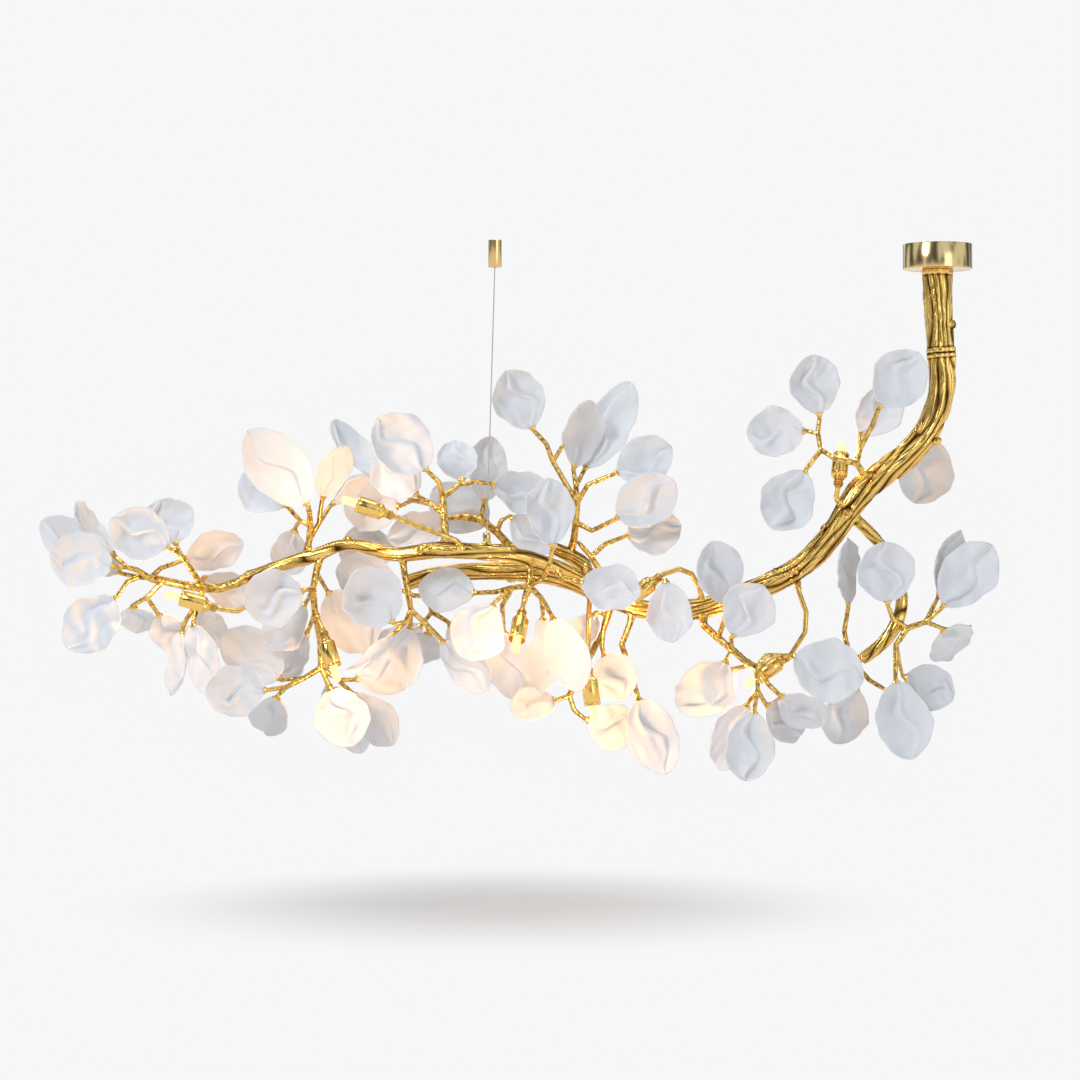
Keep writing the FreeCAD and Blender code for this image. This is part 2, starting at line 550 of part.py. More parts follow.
def seat_on(point, tangent, parent_r, towards, child_r):
    """Where a child starts: far enough out along its own direction to clear its parent's skin."""
    direction = unit(towards - point)
    along = min(abs(direction.dot(tangent)), 0.8)
    reach = (parent_r + child_r * along) / math.sqrt(1 - along * along) + SEAT_RISE
    if (towards - point).Length < reach + 2:
        print("short twig start at", [round(c) for c in point], round(reach, 1), round((towards - point).Length, 1))
    return Seat(point + direction * reach, direction, child_r)


def boss(point, seat):
    """Collar cast on the parent, up to the seat's flat face."""
    radius = seat.radius + SEAT_LIP
    inner = point + (seat.face - point) * 0.15
    return faceted([prism_ring(inner, seat.direction, radius, SEAT_SIDES),
                    prism_ring(seat.face, seat.direction, radius, SEAT_SIDES)])


def spigot(seat, radius_gap=0.0, end_gap=0.0):
    """Square peg below a seat's face, or with gaps its socket."""
    radius = seat.radius * SPIGOT_SHARE + radius_gap
    tip = seat.face - seat.direction * (SPIGOT_L + end_gap)
    top = seat.face + seat.direction * 0.8
    return faceted([prism_ring(tip, seat.direction, radius, PEG_SIDES),
                    prism_ring(top, seat.direction, radius, PEG_SIDES)])


def socket(seat):
    """The hole that a spigot sits in."""
    return spigot(seat, SPIGOT_FIT, SOCKET_END)


def stub(item):
    """Knot or cut branch end on a bough."""
    centre = place(item.at)
    direction = unit(Vector(*item.towards))
    foot = prism_ring(centre + direction * (item.reach * 0.3), direction, item.radius * 1.35, STUB_SIDES)
    face = prism_ring(centre + direction * item.reach, direction, item.radius, STUB_SIDES)
    return faceted([foot, face])


def owner_piece(route, at):
    """The casting that holds a route's point."""
    index = index_on(route, at)
    for name, limb in LIMBS.items():
        if limb.route == route and limb.first <= index <= limb.last:
            return name
    return None


def limb_seat(route, at, first_point, child_r):
    """Seat on a bough for a child, at the bough's end or on its side, and the bough's own point."""
    index = index_on(route, at)
    points = route_points(route)
    direction = tangents(points)[index]
    point = points[index]
    if index == len(points) - 1:
        return Seat(point, direction, child_r), point
    return seat_on(point, direction, ROUTES[route][index][3], place(first_point), child_r), point


def start_route(seat, route):
    """A child's route from its seat's face, leaving the face squarely."""
    points = [place(p) for p in route]
    if unit(points[0] - seat.face).dot(seat.direction) < 0.999:
        points.insert(0, seat.face + seat.direction * SEAT_LEAD)
    return [seat.face] + points


def limb_solids():
    """Every bough casting, plain, before its seats are cut."""
    solids = {}
    for name, limb in LIMBS.items():
        points = route_points(limb.route)
        radii = [p[3] for p in ROUTES[limb.route]]
        rings = route_rings(points, radii, LIMB_SIDES, FLUTE, FLUTE_TWIST)
        rings = rings[limb.first:limb.last + 1]
        if name in BRANCHING:
            route, at = BRANCHING[name]
            seat, _ = limb_seat(route, at, ROUTES[limb.route][0][:3], radii[0])
            rings[0:0] = [prism_ring(seat.face, seat.direction, radii[0], LIMB_SIDES)]
        solids[name] = faceted(rings)
    return solids


def twig_radii(twig, count):
    """Radius at each point of a twig, tapering to its tip."""
    return [twig.root_r + (twig.tip_r - twig.root_r) * k / (count - 1) for k in range(count)]


def petal_axis(twig):
    """Direction from a twig's end to the middle of its petal."""
    return unit(place(twig.petal.centre) - place(twig.route[-1]))


def cup_foot(twig):
    """Where the cup stands: a neck's length from the twig's last point towards its petal."""
    return place(twig.route[-1]) + petal_axis(twig) * NECK_L


def twig_solid(twig, seat=None):
    """One tapering twig; where it bears a petal its end turns squarely into the cup's foot."""
    points = start_route(seat, twig.route) if seat else [place(p) for p in twig.route]
    if twig.petal:
        points[-1] = cup_foot(twig)
    radii = twig_radii(twig, len(points))
    rings = route_rings(points, radii, TWIG_SIDES)
    if twig.petal:
        rings[-1] = prism_ring(points[-1], petal_axis(twig), radii[-1], TWIG_SIDES, rings[-1][0] - points[-1])
    return faceted(rings)


def petal_frame(twig):
    """Foot of the cup, the blade's direction, its normal and its sideways direction."""
    axis = petal_axis(twig)
    foot = cup_foot(twig)
    flat = square_to(axis, Vector(0, -1, 0))
    side = axis.cross(flat)
    roll = math.radians(twig.petal.roll)
    normal = flat * math.cos(roll) + side * math.sin(roll)
    return foot, axis, normal, axis.cross(normal)


def oblong(centre, normal, across, half_t, half_w):
    """Corners of a rectangle that lies square to a blade's direction."""
    return [centre + across * half_w + normal * half_t, centre - across * half_w + normal * half_t,
            centre - across * half_w - normal * half_t, centre + across * half_w - normal * half_t]


def cup_solid(twig):
    """Flared cup on a twig's end, with a tapered slot for the petal's tab."""
    foot, axis, normal, across = petal_frame(twig)
    half_t = PETAL_T / 2 + TAB_FIT
    half_w = TAB_W / 2 + TAB_FIT
    mouth = foot + axis * CUP_L
    return faceted([oblong(foot, normal, across, CUP_FOOT, CUP_FOOT),
                    oblong(mouth, normal, across, half_t + CUP_LIP, half_w + CUP_LIP),
                    oblong(mouth, normal, across, half_t, half_w),
                    oblong(foot + axis * CUP_FLOOR, normal, across, half_t, TAB_END_W / 2 + TAB_FIT)])


def petal_solid(twig):
    """Porcelain petal: a tapered tab in the cup, then a cupped blade with a wandering crease."""
    foot, axis, normal, across = petal_frame(twig)
    form = FORMS[twig.petal.form]
    start = foot + axis * CUP_L
    length = 2 * (place(twig.petal.centre) - start).dot(axis)
    half = twig.petal.width / 2
    rings = []
    for depth, tab_w in ((CUP_FLOOR - CUP_L, TAB_END_W), (0.0, TAB_W)):
        rings.append(blade_ring(start + axis * depth, normal, across, tab_w / 2, 0.0, 0.0, 0.0))
    for along, spread in OUTLINE:
        rise = -form.bow * length * 4 * along * (1 - along)
        lift = form.cup * twig.petal.width * spread * spread
        sink = form.crease * twig.petal.width * math.sin(math.pi * along)
        swing = form.wave * math.sin(2 * math.pi * along)
        centre = start + axis * (along * length) + normal * rise
        rings.append(blade_ring(centre, normal, across, half * spread, lift, sink, swing))
    return faceted(rings)


def blade_ring(centre, normal, across, half_w, lift, sink, swing):
    """Six corners of a blade's section: both rims raised and the crease between them sunk."""
    middle = across * (half_w * swing) - normal * sink
    upper = [centre + across * half_w + normal * lift, centre + middle, centre - across * half_w + normal * lift]
    half_t = normal * (PETAL_T / 2)
    return [p + half_t for p in upper] + [p - half_t for p in reversed(upper)]


def lamp_seat(lamp):
    """Seat of a lamp's arm, on a bough or on a cluster's twig."""
    if lamp.owner in ROUTES:
        return limb_seat(lamp.owner, lamp.at, lamp.arm[0], ARM_R)
    for twig in CLUSTERS[lamp.owner].twigs:
        if lamp.at in twig.route:
            index = twig.route.index(lamp.at)
            points = [place(p) for p in twig.route]
            seat = seat_on(points[index], tangents(points)[index], twig.root_r, place(lamp.arm[0]), ARM_R)
            return seat, points[index]
    raise ValueError("no twig holds the lamp's point")


def lamp_axis(lamp):
    """Foot of the sleeve and the direction that it points in."""
    foot = place(lamp.start)
    return foot, unit(place(lamp.mouth) - foot)


def arm_solid(lamp, seat):
    """Bent tube that feeds a lamp, with a collar nut at its root."""
    foot, axis = lamp_axis(lamp)
    points = start_route(seat, lamp.arm) + [foot - axis * 5.0, foot]
    arm = faceted(route_rings(points, [ARM_R] * len(points), ARM_SIDES))
    collar = faceted([prism_ring(seat.face, seat.direction, seat.radius + SEAT_LIP, SEAT_SIDES),
                      prism_ring(seat.face + seat.direction * ARM_COLLAR_L, seat.direction, ARM_R + 1.0, SEAT_SIDES)])
    return arm.fuse([collar, spigot(seat)])


def lathe(foot, axis, profile, sides, side=Vector(0, -1, 0)):
    """Turned form: rings of the given radii at the given distances from the foot."""
    return faceted([prism_ring(foot + axis * distance, axis, radius, sides, side) for distance, radius in profile])


def sleeve_solid(lamp):
    """Brass lamp sleeve: a narrow neck that opens into the cup for the lampholder."""
    foot, axis = lamp_axis(lamp)
    outer = lathe(foot, axis, [(0, SOCKET_NECK_D / 2 - 1.5), (SOCKET_NECK_L - 4, SOCKET_NECK_D / 2),
                               (SOCKET_NECK_L, SLEEVE_D / 2), (SOCKET_NECK_L + SLEEVE_L, SLEEVE_D / 2)],
                  SLEEVE_SIDES)
    bore = lathe(foot, axis, [(SOCKET_NECK_L + SLEEVE_FLOOR, SLEEVE_D / 2 - SLEEVE_WALL),
                              (SOCKET_NECK_L + SLEEVE_L + 1, SLEEVE_D / 2 - SLEEVE_WALL)], SLEEVE_SIDES)
    return outer.cut(bore)


def box_along(foot, axis, low, high, size):
    """Block with its width across the lamp, between two distances along its axis."""
    u = square_to(axis, Vector(0, -1, 0))
    v = axis.cross(u)
    return faceted([oblong(foot + axis * low, u, v, size[1] / 2, size[0] / 2),
                    oblong(foot + axis * high, u, v, size[1] / 2, size[0] / 2)])


def holder_solid(lamp):
    """Ceramic lampholder, with the slot that the lamp's pinched base pushes into."""
    foot, axis = lamp_axis(lamp)
    low = SOCKET_NECK_L + SLEEVE_FLOOR
    high = low + HOLDER_H
    body = lathe(foot, axis, [(low, HOLDER_D / 2), (high, HOLDER_D / 2)], SLEEVE_SIDES)
    return body.cut(box_along(foot, axis, high - HOLDER_SLOT[2], high + 1, HOLDER_SLOT))


def bulb_solid(lamp):
    """Capsule lamp: flat pinched base, round glass body and domed tip."""
    foot, axis = lamp_axis(lamp)
    top = SOCKET_NECK_L + SLEEVE_FLOOR + HOLDER_H
    low = top - HOLDER_SLOT[2]
    base = box_along(foot, axis, low, low + BULB_BASE[2], BULB_BASE)
    start = low + BULB_BASE[2] - 1.5
    glass = lathe(foot, axis, [(start, BULB_D / 2 - 1), (start + 2, BULB_D / 2),
                               (start + BULB_L - BULB_TIP, BULB_D / 2), (start + BULB_L, BULB_D / 5)], BULB_SIDES)
    return base.fuse(glass)


def drum(centre, sizes, sides):
    """Upright many-sided form about a centre, from radius and height pairs, lowest first."""
    return faceted([prism_ring(centre + Vector(0, 0, z), Vector(0, 0, 1), r, sides) for r, z in sizes])


def rod(bottom, top, diameter):
    """Straight round bar between two points."""
    return Part.makeCylinder(diameter / 2, (top - bottom).Length, bottom, top - bottom)


def screw_shank(way, near, far, radius):
    """Six-sided shank along Y through the canopy's wall, on the near or the far side."""
    ring = [prism_ring(Vector(0, way * y, -SIDE_SCREW_DROP), Vector(0, 1, 0), radius, 6, Vector(0, 0, 1))
            for y in (near, far)]
    return faceted(ring)


def canopy_solid():
    """Spun cup that covers the bracket, with a hole for the nipple and two for the side screws."""
    origin = Vector(0, 0, 0)
    outer = CANOPY_D / 2
    inner = outer - CANOPY_WALL
    shape = drum(origin, [(outer, -CANOPY_H), (outer, 0)], CANOPY_SIDES)
    shape = shape.cut(drum(origin, [(inner, CANOPY_WALL - CANOPY_H), (inner, 1)], CANOPY_SIDES))
    shape = shape.cut(drum(origin, [(NIPPLE_D / 2 + THREAD_FIT, -CANOPY_H - 1),
                                    (NIPPLE_D / 2 + THREAD_FIT, 0)], NIPPLE_SIDES))
    for way in (-1, 1):
        shape = shape.cut(screw_shank(way, CANOPY_D / 2 - 5, CANOPY_D / 2 + 2, SIDE_SCREW_D / 2 + THREAD_FIT))
    return shape


def bracket_solid():
    """Steel bar under the ceiling: turned-down ends for the side screws and a boss for the nipple."""
    reach = CANOPY_D / 2 - CANOPY_WALL - BRACKET_GAP
    half = BRACKET_W / 2
    tab_y = math.sqrt(reach * reach - half * half)
    shape = Part.makeBox(BRACKET_W, 2 * tab_y, BRACKET_T, Vector(-half, -tab_y, -BRACKET_T))
    for way in (-1, 1):
        low = tab_y - BRACKET_T if way > 0 else -tab_y
        tab = Part.makeBox(BRACKET_W, BRACKET_T, BRACKET_TAB, Vector(-half, low, -BRACKET_TAB))
        shape = shape.fuse(tab)
    origin = Vector(0, 0, 0)
    shape = shape.fuse(drum(origin, [(BOSS_D / 2, -BRACKET_T - BOSS_H), (BOSS_D / 2, -1)], NIPPLE_SIDES))
    shape = shape.cut(drum(origin, [(NIPPLE_D / 2 + THREAD_FIT, -CANOPY_H),
                                    (NIPPLE_D / 2 + THREAD_FIT, NIPPLE_TOP + 0.5)], NIPPLE_SIDES))
    for way in (-1, 1):
        centre = Vector(0, way * BRACKET_SLOT_SPACING / 2, 0)
        run = (BRACKET_SLOT_L - BRACKET_SLOT_W) / 2
        through = 5 * BRACKET_T
        low = Vector(0, 0, -through / 2)
        cutter = Part.makeBox(BRACKET_SLOT_W, 2 * run, through, centre + low + Vector(-BRACKET_SLOT_W / 2, -run, 0))
        for end in (-run, run):
            cutter = cutter.fuse(Part.makeCylinder(BRACKET_SLOT_W / 2, through, centre + low + Vector(0, end, 0)))
        shape = shape.cut(cutter)
        shape = shape.cut(screw_shank(way, tab_y - BRACKET_T - 1, tab_y + 2, SIDE_SCREW_D / 2 + THREAD_FIT))
    return shape.removeSplitter()


def side_screws():
    """Two grub screws through the canopy's wall into the bracket's ends."""
    outer = CANOPY_D / 2
    return [screw_shank(way, outer - SIDE_SCREW_L, outer + SIDE_SCREW_PROUD, SIDE_SCREW_D / 2) for way in (-1, 1)]


def lock_nut_solid():
    """Nut on the nipple, tight under the bracket's boss."""
    base = Vector(0, 0, -BRACKET_T - BOSS_H - LOCK_NUT_H)
    body = drum(base, [(LOCK_NUT_AF / math.sqrt(3), 0), (LOCK_NUT_AF / math.sqrt(3), LOCK_NUT_H)], 6)
    bore = NIPPLE_D / 2 + THREAD_FIT
    return body.cut(drum(base, [(bore, -1), (bore, LOCK_NUT_H + 1)], NIPPLE_SIDES))


def nipple_solid():
    """Threaded tube from the bracket's boss down into the top of the trunk."""
    low = -CANOPY_H - NIPPLE_IN_STEM
    origin = Vector(0, 0, 0)
    tube = drum(origin, [(NIPPLE_D / 2, low), (NIPPLE_D / 2, NIPPLE_TOP)], NIPPLE_SIDES)
    return tube.cut(drum(origin, [(NIPPLE_BORE / 2, low - 1), (NIPPLE_BORE / 2, NIPPLE_TOP + 1)], NIPPLE_SIDES))


def terminal_block_solid():
    """Two-way terminal block beside the nipple, on the bracket's underside."""
    width, depth, height = TERMINAL
    entry_w, entry_h = TERMINAL_ENTRY
    y = BOSS_D / 2 + TERMINAL_GAP
    low = -BRACKET_T - height
    block = Part.makeBox(width, depth, height, Vector(-width / 2, y, low))
    for x in (-width / 4, width / 4):
        corner = Vector(x - entry_w / 2, y - 1, low + TERMINAL_ENTRY_RISE)
        block = block.cut(Part.makeBox(entry_w, depth + 2, entry_h, corner))
    return block


def gripper_seat():
    """Flat on the front limb's top that carries the wire's gripper."""
    index = index_on("front", WIRE_FOOT)
    points = route_points("front")
    radius = GRIPPER_D / 2
    point = points[index]
    return seat_on(point, tangents(points)[index], ROUTES["front"][index][3], point + Vector(0, 0, GRIPPER_H), radius), point


def wire_pieces(seat):
    """Ceiling base, cup, ferrule, wire and gripper."""
    top = Vector(WIRE_TOP[0], WIRE_TOP[1], 0)
    radius = WIRE_CUP_D / 2
    inner = radius - WIRE_CUP_WALL
    floor = WIRE_CUP_WALL - WIRE_CUP_H
    base = drum(top, [(inner - THREAD_FIT, -WIRE_BASE_H), (inner - THREAD_FIT, 0)], WIRE_SIDES)
    base = base.cut(rod(top - Vector(0, 0, WIRE_BASE_H + 1), top + Vector(0, 0, 1), WIRE_BASE_HOLE))
    cup = drum(top, [(radius, -WIRE_CUP_H), (radius, 0)], WIRE_SIDES)
    cup = cup.cut(drum(top, [(inner, floor), (inner, 1)], WIRE_SIDES))
    wire_high = top + Vector(0, 0, floor + FERRULE_H / 2)
    wire_low = seat.face + Vector(0, 0, GRIPPER_H - GRIPPER_BORE_DEPTH)
    way = unit(wire_high - wire_low)
    bore = wire_form(wire_low, wire_high, WIRE_D / 2 + WIRE_FIT)
    ferrule = drum(top, [(FERRULE_D / 2, floor), (FERRULE_D / 2, floor + FERRULE_H)], 6)
    gripper = drum(seat.face, [(GRIPPER_D / 2, 0), (GRIPPER_D / 2, GRIPPER_H - GRIPPER_CHAMFER),
                               (GRIPPER_D / 2 - GRIPPER_CHAMFER, GRIPPER_H)],
                   WIRE_SIDES)
    return {"wire_base": base, "wire_cup": cup.cut(bore), "wire_ferrule": ferrule.cut(bore),
            "suspension_wire": wire_form(wire_low, wire_high, WIRE_D / 2),
            "wire_gripper": gripper.cut(wire_form(wire_low, wire_low + way * GRIPPER_H, WIRE_D / 2 + WIRE_FIT))}


def wire_form(low, high, radius):
    """Round form of the wire or of the hole that it runs in."""
    way = unit(high - low)
    return faceted([prism_ring(low, way, radius, 8), prism_ring(high, way, radius, 8)])


def joint_seats():
    """Seats between castings that follow each other along one route, by lower and upper piece."""
    found = []
    for name, limb in LIMBS.items():
        for other, below in LIMBS.items():
            if below.route == limb.route and below.first == limb.last:
                points = route_points(limb.route)
                seat = Seat(points[limb.last], tangents(points)[limb.last], ROUTES[limb.route][limb.last][3])
                found.append((name, other, seat))
    return found


def build():
    """Every node of the chandelier: name to one solid or a list of solids."""
    limbs = limb_solids()
    added = {name: [] for name in limbs}
    cut = {name: [] for name in limbs}
    twigs, twig_cut, cups, petals = {}, {}, [], {}
    for upper, lower, seat in joint_seats():
        cut[upper].append(socket(seat))
        added[lower].append(spigot(seat))
    for item in STUBS:
        added[owner_piece(item.route, item.at)].append(stub(item))
    for name, (route, at) in BRANCHING.items():
        limb = LIMBS[name]
        seat, point = limb_seat(route, at, ROUTES[limb.route][0][:3], ROUTES[limb.route][0][3])
        owner = owner_piece(route, at)
        added[owner].append(boss(point, seat))
        cut[owner].append(socket(seat))
        added[name].append(spigot(seat))
    for name, cluster in CLUSTERS.items():
        first = cluster.twigs[0]
        seat, point = limb_seat(cluster.owner, cluster.at, first.route[0], first.root_r)
        owner = owner_piece(cluster.owner, cluster.at)
        if (seat.face - point).Length > 0.1:
            added[owner].append(boss(point, seat))
        cut[owner].append(socket(seat))
        pieces = [twig_solid(twig) for twig in cluster.twigs[1:]] + [spigot(seat)]
        twigs[name] = twig_solid(first, seat).fuse(pieces)
        twig_cut[name] = []
        bearing = [twig for twig in cluster.twigs if twig.petal]
        cups += [cup_solid(twig) for twig in bearing]
        petals[name] = [petal_solid(twig) for twig in bearing]
    arms, sleeves, holders, bulbs = [], [], [], {}
    for name, lamp in LAMPS.items():
        seat, point = lamp_seat(lamp)
        if lamp.owner in ROUTES:
            owner = owner_piece(lamp.owner, lamp.at)
            added[owner].append(boss(point, seat))
            cut[owner].append(socket(seat))
        else:
            twigs[lamp.owner] = twigs[lamp.owner].fuse(boss(point, seat))
            twig_cut[lamp.owner].append(socket(seat))
        arms.append(arm_solid(lamp, seat))
        sleeves.append(sleeve_solid(lamp))
        holders.append(holder_solid(lamp))
        bulbs[name] = bulb_solid(lamp)
    seat, point = gripper_seat()
    added["front_limb"].append(boss(point, seat))
    nodes = wire_pieces(seat)
    for name, solid in limbs.items():
        shape = solid.fuse(added[name]) if added[name] else solid
        nodes[name] = shape.cut(cut[name]) if cut[name] else shape
    bore = NIPPLE_D / 2 + THREAD_FIT
    nodes["trunk_stem"] = nodes["trunk_stem"].cut(
        drum(Vector(0, 0, 0), [(bore, -CANOPY_H - NIPPLE_IN_STEM - 1), (bore, 0)], NIPPLE_SIDES))
    for name in CLUSTERS:
        shape = twigs[name].cut(twig_cut[name]) if twig_cut[name] else twigs[name]
        node = "twigs_" + name if name not in SHORT_TWIGS else "twigs_short"
        nodes.setdefault(node, []).append(shape)
    for node, members in PETAL_GROUPS.items():
        nodes["petals_" + node] = [solid for name in members for solid in petals[name]]
    nodes["petal_cups"] = cups
    nodes.update({"lamp_arms": arms, "lamp_sleeves": sleeves, "lampholders": holders})
    nodes.update({"bulb_" + name: solid for name, solid in bulbs.items()})
    nodes.update({"canopy": canopy_solid(), "ceiling_bracket": bracket_solid(), "canopy_side_screws": side_screws(),
                  "lock_nut": lock_nut_solid(), "stem_nipple": nipple_solid(),
                  "terminal_block": terminal_block_solid()})
    return nodes


def main():
    """Builds the nodes and writes one STEP file for each."""
    os.makedirs("parts", exist_ok=True)
    for name, shape in build().items():
        solids = [solid for item in shape for solid in item.Solids] if isinstance(shape, list) else shape.Solids
        whole = solids[0] if len(solids) == 1 else Part.makeCompound(solids)
        whole.exportStep("parts/" + name + ".step")


if __name__ == "__main__":
    main()
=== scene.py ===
"""Branch chandelier: cast brass boughs with bark relief, bisque porcelain petals, capsule lamps, canopy and wire."""
import logging
import math
from dataclasses import dataclass, field
from enum import Enum

import bmesh
import bpy
import numpy as np
from mathutils import Matrix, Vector
from mathutils.bvhtree import BVHTree


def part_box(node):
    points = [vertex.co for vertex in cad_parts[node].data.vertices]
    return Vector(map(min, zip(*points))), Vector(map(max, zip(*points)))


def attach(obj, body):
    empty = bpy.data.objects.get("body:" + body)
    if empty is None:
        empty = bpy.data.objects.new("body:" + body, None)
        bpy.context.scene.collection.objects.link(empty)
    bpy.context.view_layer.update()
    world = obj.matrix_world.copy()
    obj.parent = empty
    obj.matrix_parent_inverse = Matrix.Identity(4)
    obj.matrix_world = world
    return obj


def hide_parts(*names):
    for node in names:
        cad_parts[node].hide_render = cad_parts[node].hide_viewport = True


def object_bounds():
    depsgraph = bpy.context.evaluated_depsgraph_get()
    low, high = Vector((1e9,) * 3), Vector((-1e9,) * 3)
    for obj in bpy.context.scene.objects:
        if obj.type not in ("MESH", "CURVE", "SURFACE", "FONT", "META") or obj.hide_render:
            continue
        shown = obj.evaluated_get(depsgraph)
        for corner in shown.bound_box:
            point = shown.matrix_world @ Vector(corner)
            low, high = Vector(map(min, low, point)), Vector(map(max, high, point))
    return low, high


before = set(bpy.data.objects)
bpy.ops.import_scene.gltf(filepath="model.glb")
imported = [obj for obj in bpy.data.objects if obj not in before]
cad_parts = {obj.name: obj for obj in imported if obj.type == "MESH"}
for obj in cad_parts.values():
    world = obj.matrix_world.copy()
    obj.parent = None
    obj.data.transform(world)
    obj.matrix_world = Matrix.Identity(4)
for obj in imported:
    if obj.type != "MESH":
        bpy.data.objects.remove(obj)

BOX_AT_START = [list(corner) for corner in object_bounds()]
MM = 0.001
CANOPY_DROP = 40.0
BODY = "chandelier"
LOG = logging.getLogger("chandelier")

# Bough routes in millimetres from the canopy's underside: x, y, z and radius
ROUTES = {
    "trunk": [
        (0, 0, 0, 22.5), (0, 0, -46, 21.5), (3, 0, -90, 21), (6, 0, -134, 23),
        (9, 0, -177, 22), (1, 0, -223, 22), (-22, 0, -270, 21.5), (-55, 0, -305, 21), (-92, 0, -329, 20.5),
        (-122, 0, -353, 21.5), (-145, 0, -386, 19), (-166, 0, -422, 19), (-193, 0, -454, 20.5),
        (-226, 0, -481, 19), (-262, 0, -500, 19), (-298, 0, -516, 18), (-335, 0, -529, 17),
        (-375, 4, -542, 16), (-412, 10, -547, 17), (-451, 17, -548, 16), (-485, 24, -542, 15.5),
        (-520, 30, -528, 15), (-555, 34, -512, 14.5), (-596, 34, -496, 14), (-636, 32, -488, 14),
        (-684, 31, -483, 13.5), (-733, 30, -483, 13), (-781, 29, -486, 13.5), (-816, 28, -492, 14),
        (-852, 26, -502, 12.5)],
    "front": [
        (-575, -18, -492, 11), (-612, -40, -476, 12.5), (-652, -56, -463, 13), (-686, -66, -456, 13.5),
        (-720, -70, -452, 13.5), (-754, -70, -450, 13), (-786, -64, -447, 14), (-821, -54, -450, 12.5),
        (-855, -46, -458, 11.5), (-885, -36, -453, 10.5), (-913, -26, -444, 9.5), (-939, -18, -438, 8.5),
        (-963, -10, -442, 10), (-985, -4, -455, 11), (-1010, 0, -462, 11.5), (-1042, 0, -470, 9.5),
        (-1074, 0, -481, 8.5), (-1103, 0, -492, 9.5)],
    "upper": [(-564, 62, -474, 12), (-587, 66, -456, 11.5), (-615, 66, -446, 10)],
    "right": [
        (-111, 12, -417, 9), (-84, 17, -444, 8.5), (-63, 14, -483, 8.5), (-54, 7, -526, 9.5),
        (-62, 0, -564, 11.5), (-80, -3, -590, 11), (-99, -5, -609, 10), (-122, -7, -623, 9)],
}

# Each lamp: the foot and the mouth of its sleeve, in the same millimetres
LAMPS = {
    "front": ((-866, -100, -395), (-923, -102, -376)),
    "lower_left": ((-980, -46, -577), (-962, -58, -634)),
    "far_left": ((-1149, -37, -541), (-1206, -38, -525)),
    "middle": ((-664, -84, -544), (-672, -124, -588)),
    "lower_middle": ((-560, -52, -635), (-553, -54, -693)),
    "gooseneck": ((-443, -20, -490), (-491, -20, -525)),
    "trunk_foot": ((-240, -18, -618), (-293, -20, -654)),
    "trunk_top": ((-161, -20, -346), (-153, 12, -298)),
}
# Folds round each bough's bark
FOLDS = {"trunk": 8, "front": 7, "upper": 6, "right": 6}
# Knots whose rings swell the bark: x, y, z in the same millimetres
KNOTS = [(22, -9, -88), (-1, -12, -277), (-148, -20, -392), (-186, -10, -413), (-230, -20, -487),
         (-258, -10, -482), (-598, 37, -480), (-683, 38, -500), (-818, -66, -446), (-940, -22, -428), (-52, 12, -482)]
# Raised collars round the trunk: place in the same millimetres, height and half length
COLLARS = [(0, 0, -3, 1.4, 5.0), (6, 0, -129, 1.7, 3.6), (6, 0, -138, 1.3, 3.0)]
LIMB_NODES = ("trunk_stem", "trunk_bend", "trunk_elbow", "trunk_foot", "main_limb", "front_limb", "left_limb",
              "upper_limb", "right_limb")


class Turn(Enum):
    """Which way a shader value goes round its masks."""

    KEEP = "keep"
    FLIP = "flip"


def unit(vector: np.ndarray) -> np.ndarray:
    """Each vector divided by its own length."""
    return vector / np.maximum(np.linalg.norm(vector, axis=-1, keepdims=True), 1e-12)


def place(points: np.ndarray) -> np.ndarray:
    """Millimetres from the canopy's underside as metres in the object's frame."""
    return (np.asarray(points, float) - [0.0, 0.0, CANOPY_DROP]) * MM


def ripple(points: np.ndarray, length: float, seed: int, waves: int = 9) -> np.ndarray:
    """Smooth uneven field: the mean of sines along random directions, whose wave lengths are near the given one.

    Args:
        points: places, one row each.
        length: typical wave length, in the units of the points.
        seed: start of the random draw.
        waves: how many sines are added.

    Returns:
        One value from about -1 to 1 for each row.
    """
    rng = np.random.default_rng(seed)
    ways = unit(rng.normal(size=(waves, 3))) * rng.uniform(0.6, 1.7, (waves, 1)) * (2 * math.pi / length)
    return np.sin(points @ ways.T + rng.uniform(0, 2 * math.pi, waves)).sum(1) / math.sqrt(waves) * 0.8


def square_to(axis: np.ndarray) -> tuple[np.ndarray, np.ndarray]:
    """Two unit vectors square to an axis and to each other, the first towards the viewer where it can be."""
    wanted = np.array([0.0, -1.0, 0.0])
    side = wanted - axis * np.sum(axis * wanted, -1, keepdims=True)
    if np.linalg.norm(side) < 0.05:
        side = np.array([1.0, 0.0, 0.0]) - axis * axis[0]
    side = unit(side)
    return side, np.cross(axis, side)


@dataclass
class Signal:
    """A shader socket that takes part in sums and products by adding Math nodes."""

    kit: "Finish"
    socket: bpy.types.NodeSocket

    def math(self, operation: str, other: object, turn: Turn = Turn.KEEP) -> "Signal":
        """This value and another through one Math node."""
        pair = (self, other) if turn is Turn.KEEP else (other, self)
        return self.kit.node("ShaderNodeMath", {"operation": operation}, {0: pair[0], 1: pair[1]})

    def __add__(self, other: object) -> "Signal":
        """Sum."""
        return self.math("ADD", other)

    __radd__ = __add__

    def __mul__(self, other: object) -> "Signal":
        """Product."""
        return self.math("MULTIPLY", other)

    __rmul__ = __mul__

    def __sub__(self, other: object) -> "Signal":
        """Difference."""
        return self.math("SUBTRACT", other)

    def __rsub__(self, other: object) -> "Signal":
        """Difference the other way round."""
        return self.math("SUBTRACT", other, Turn.FLIP)


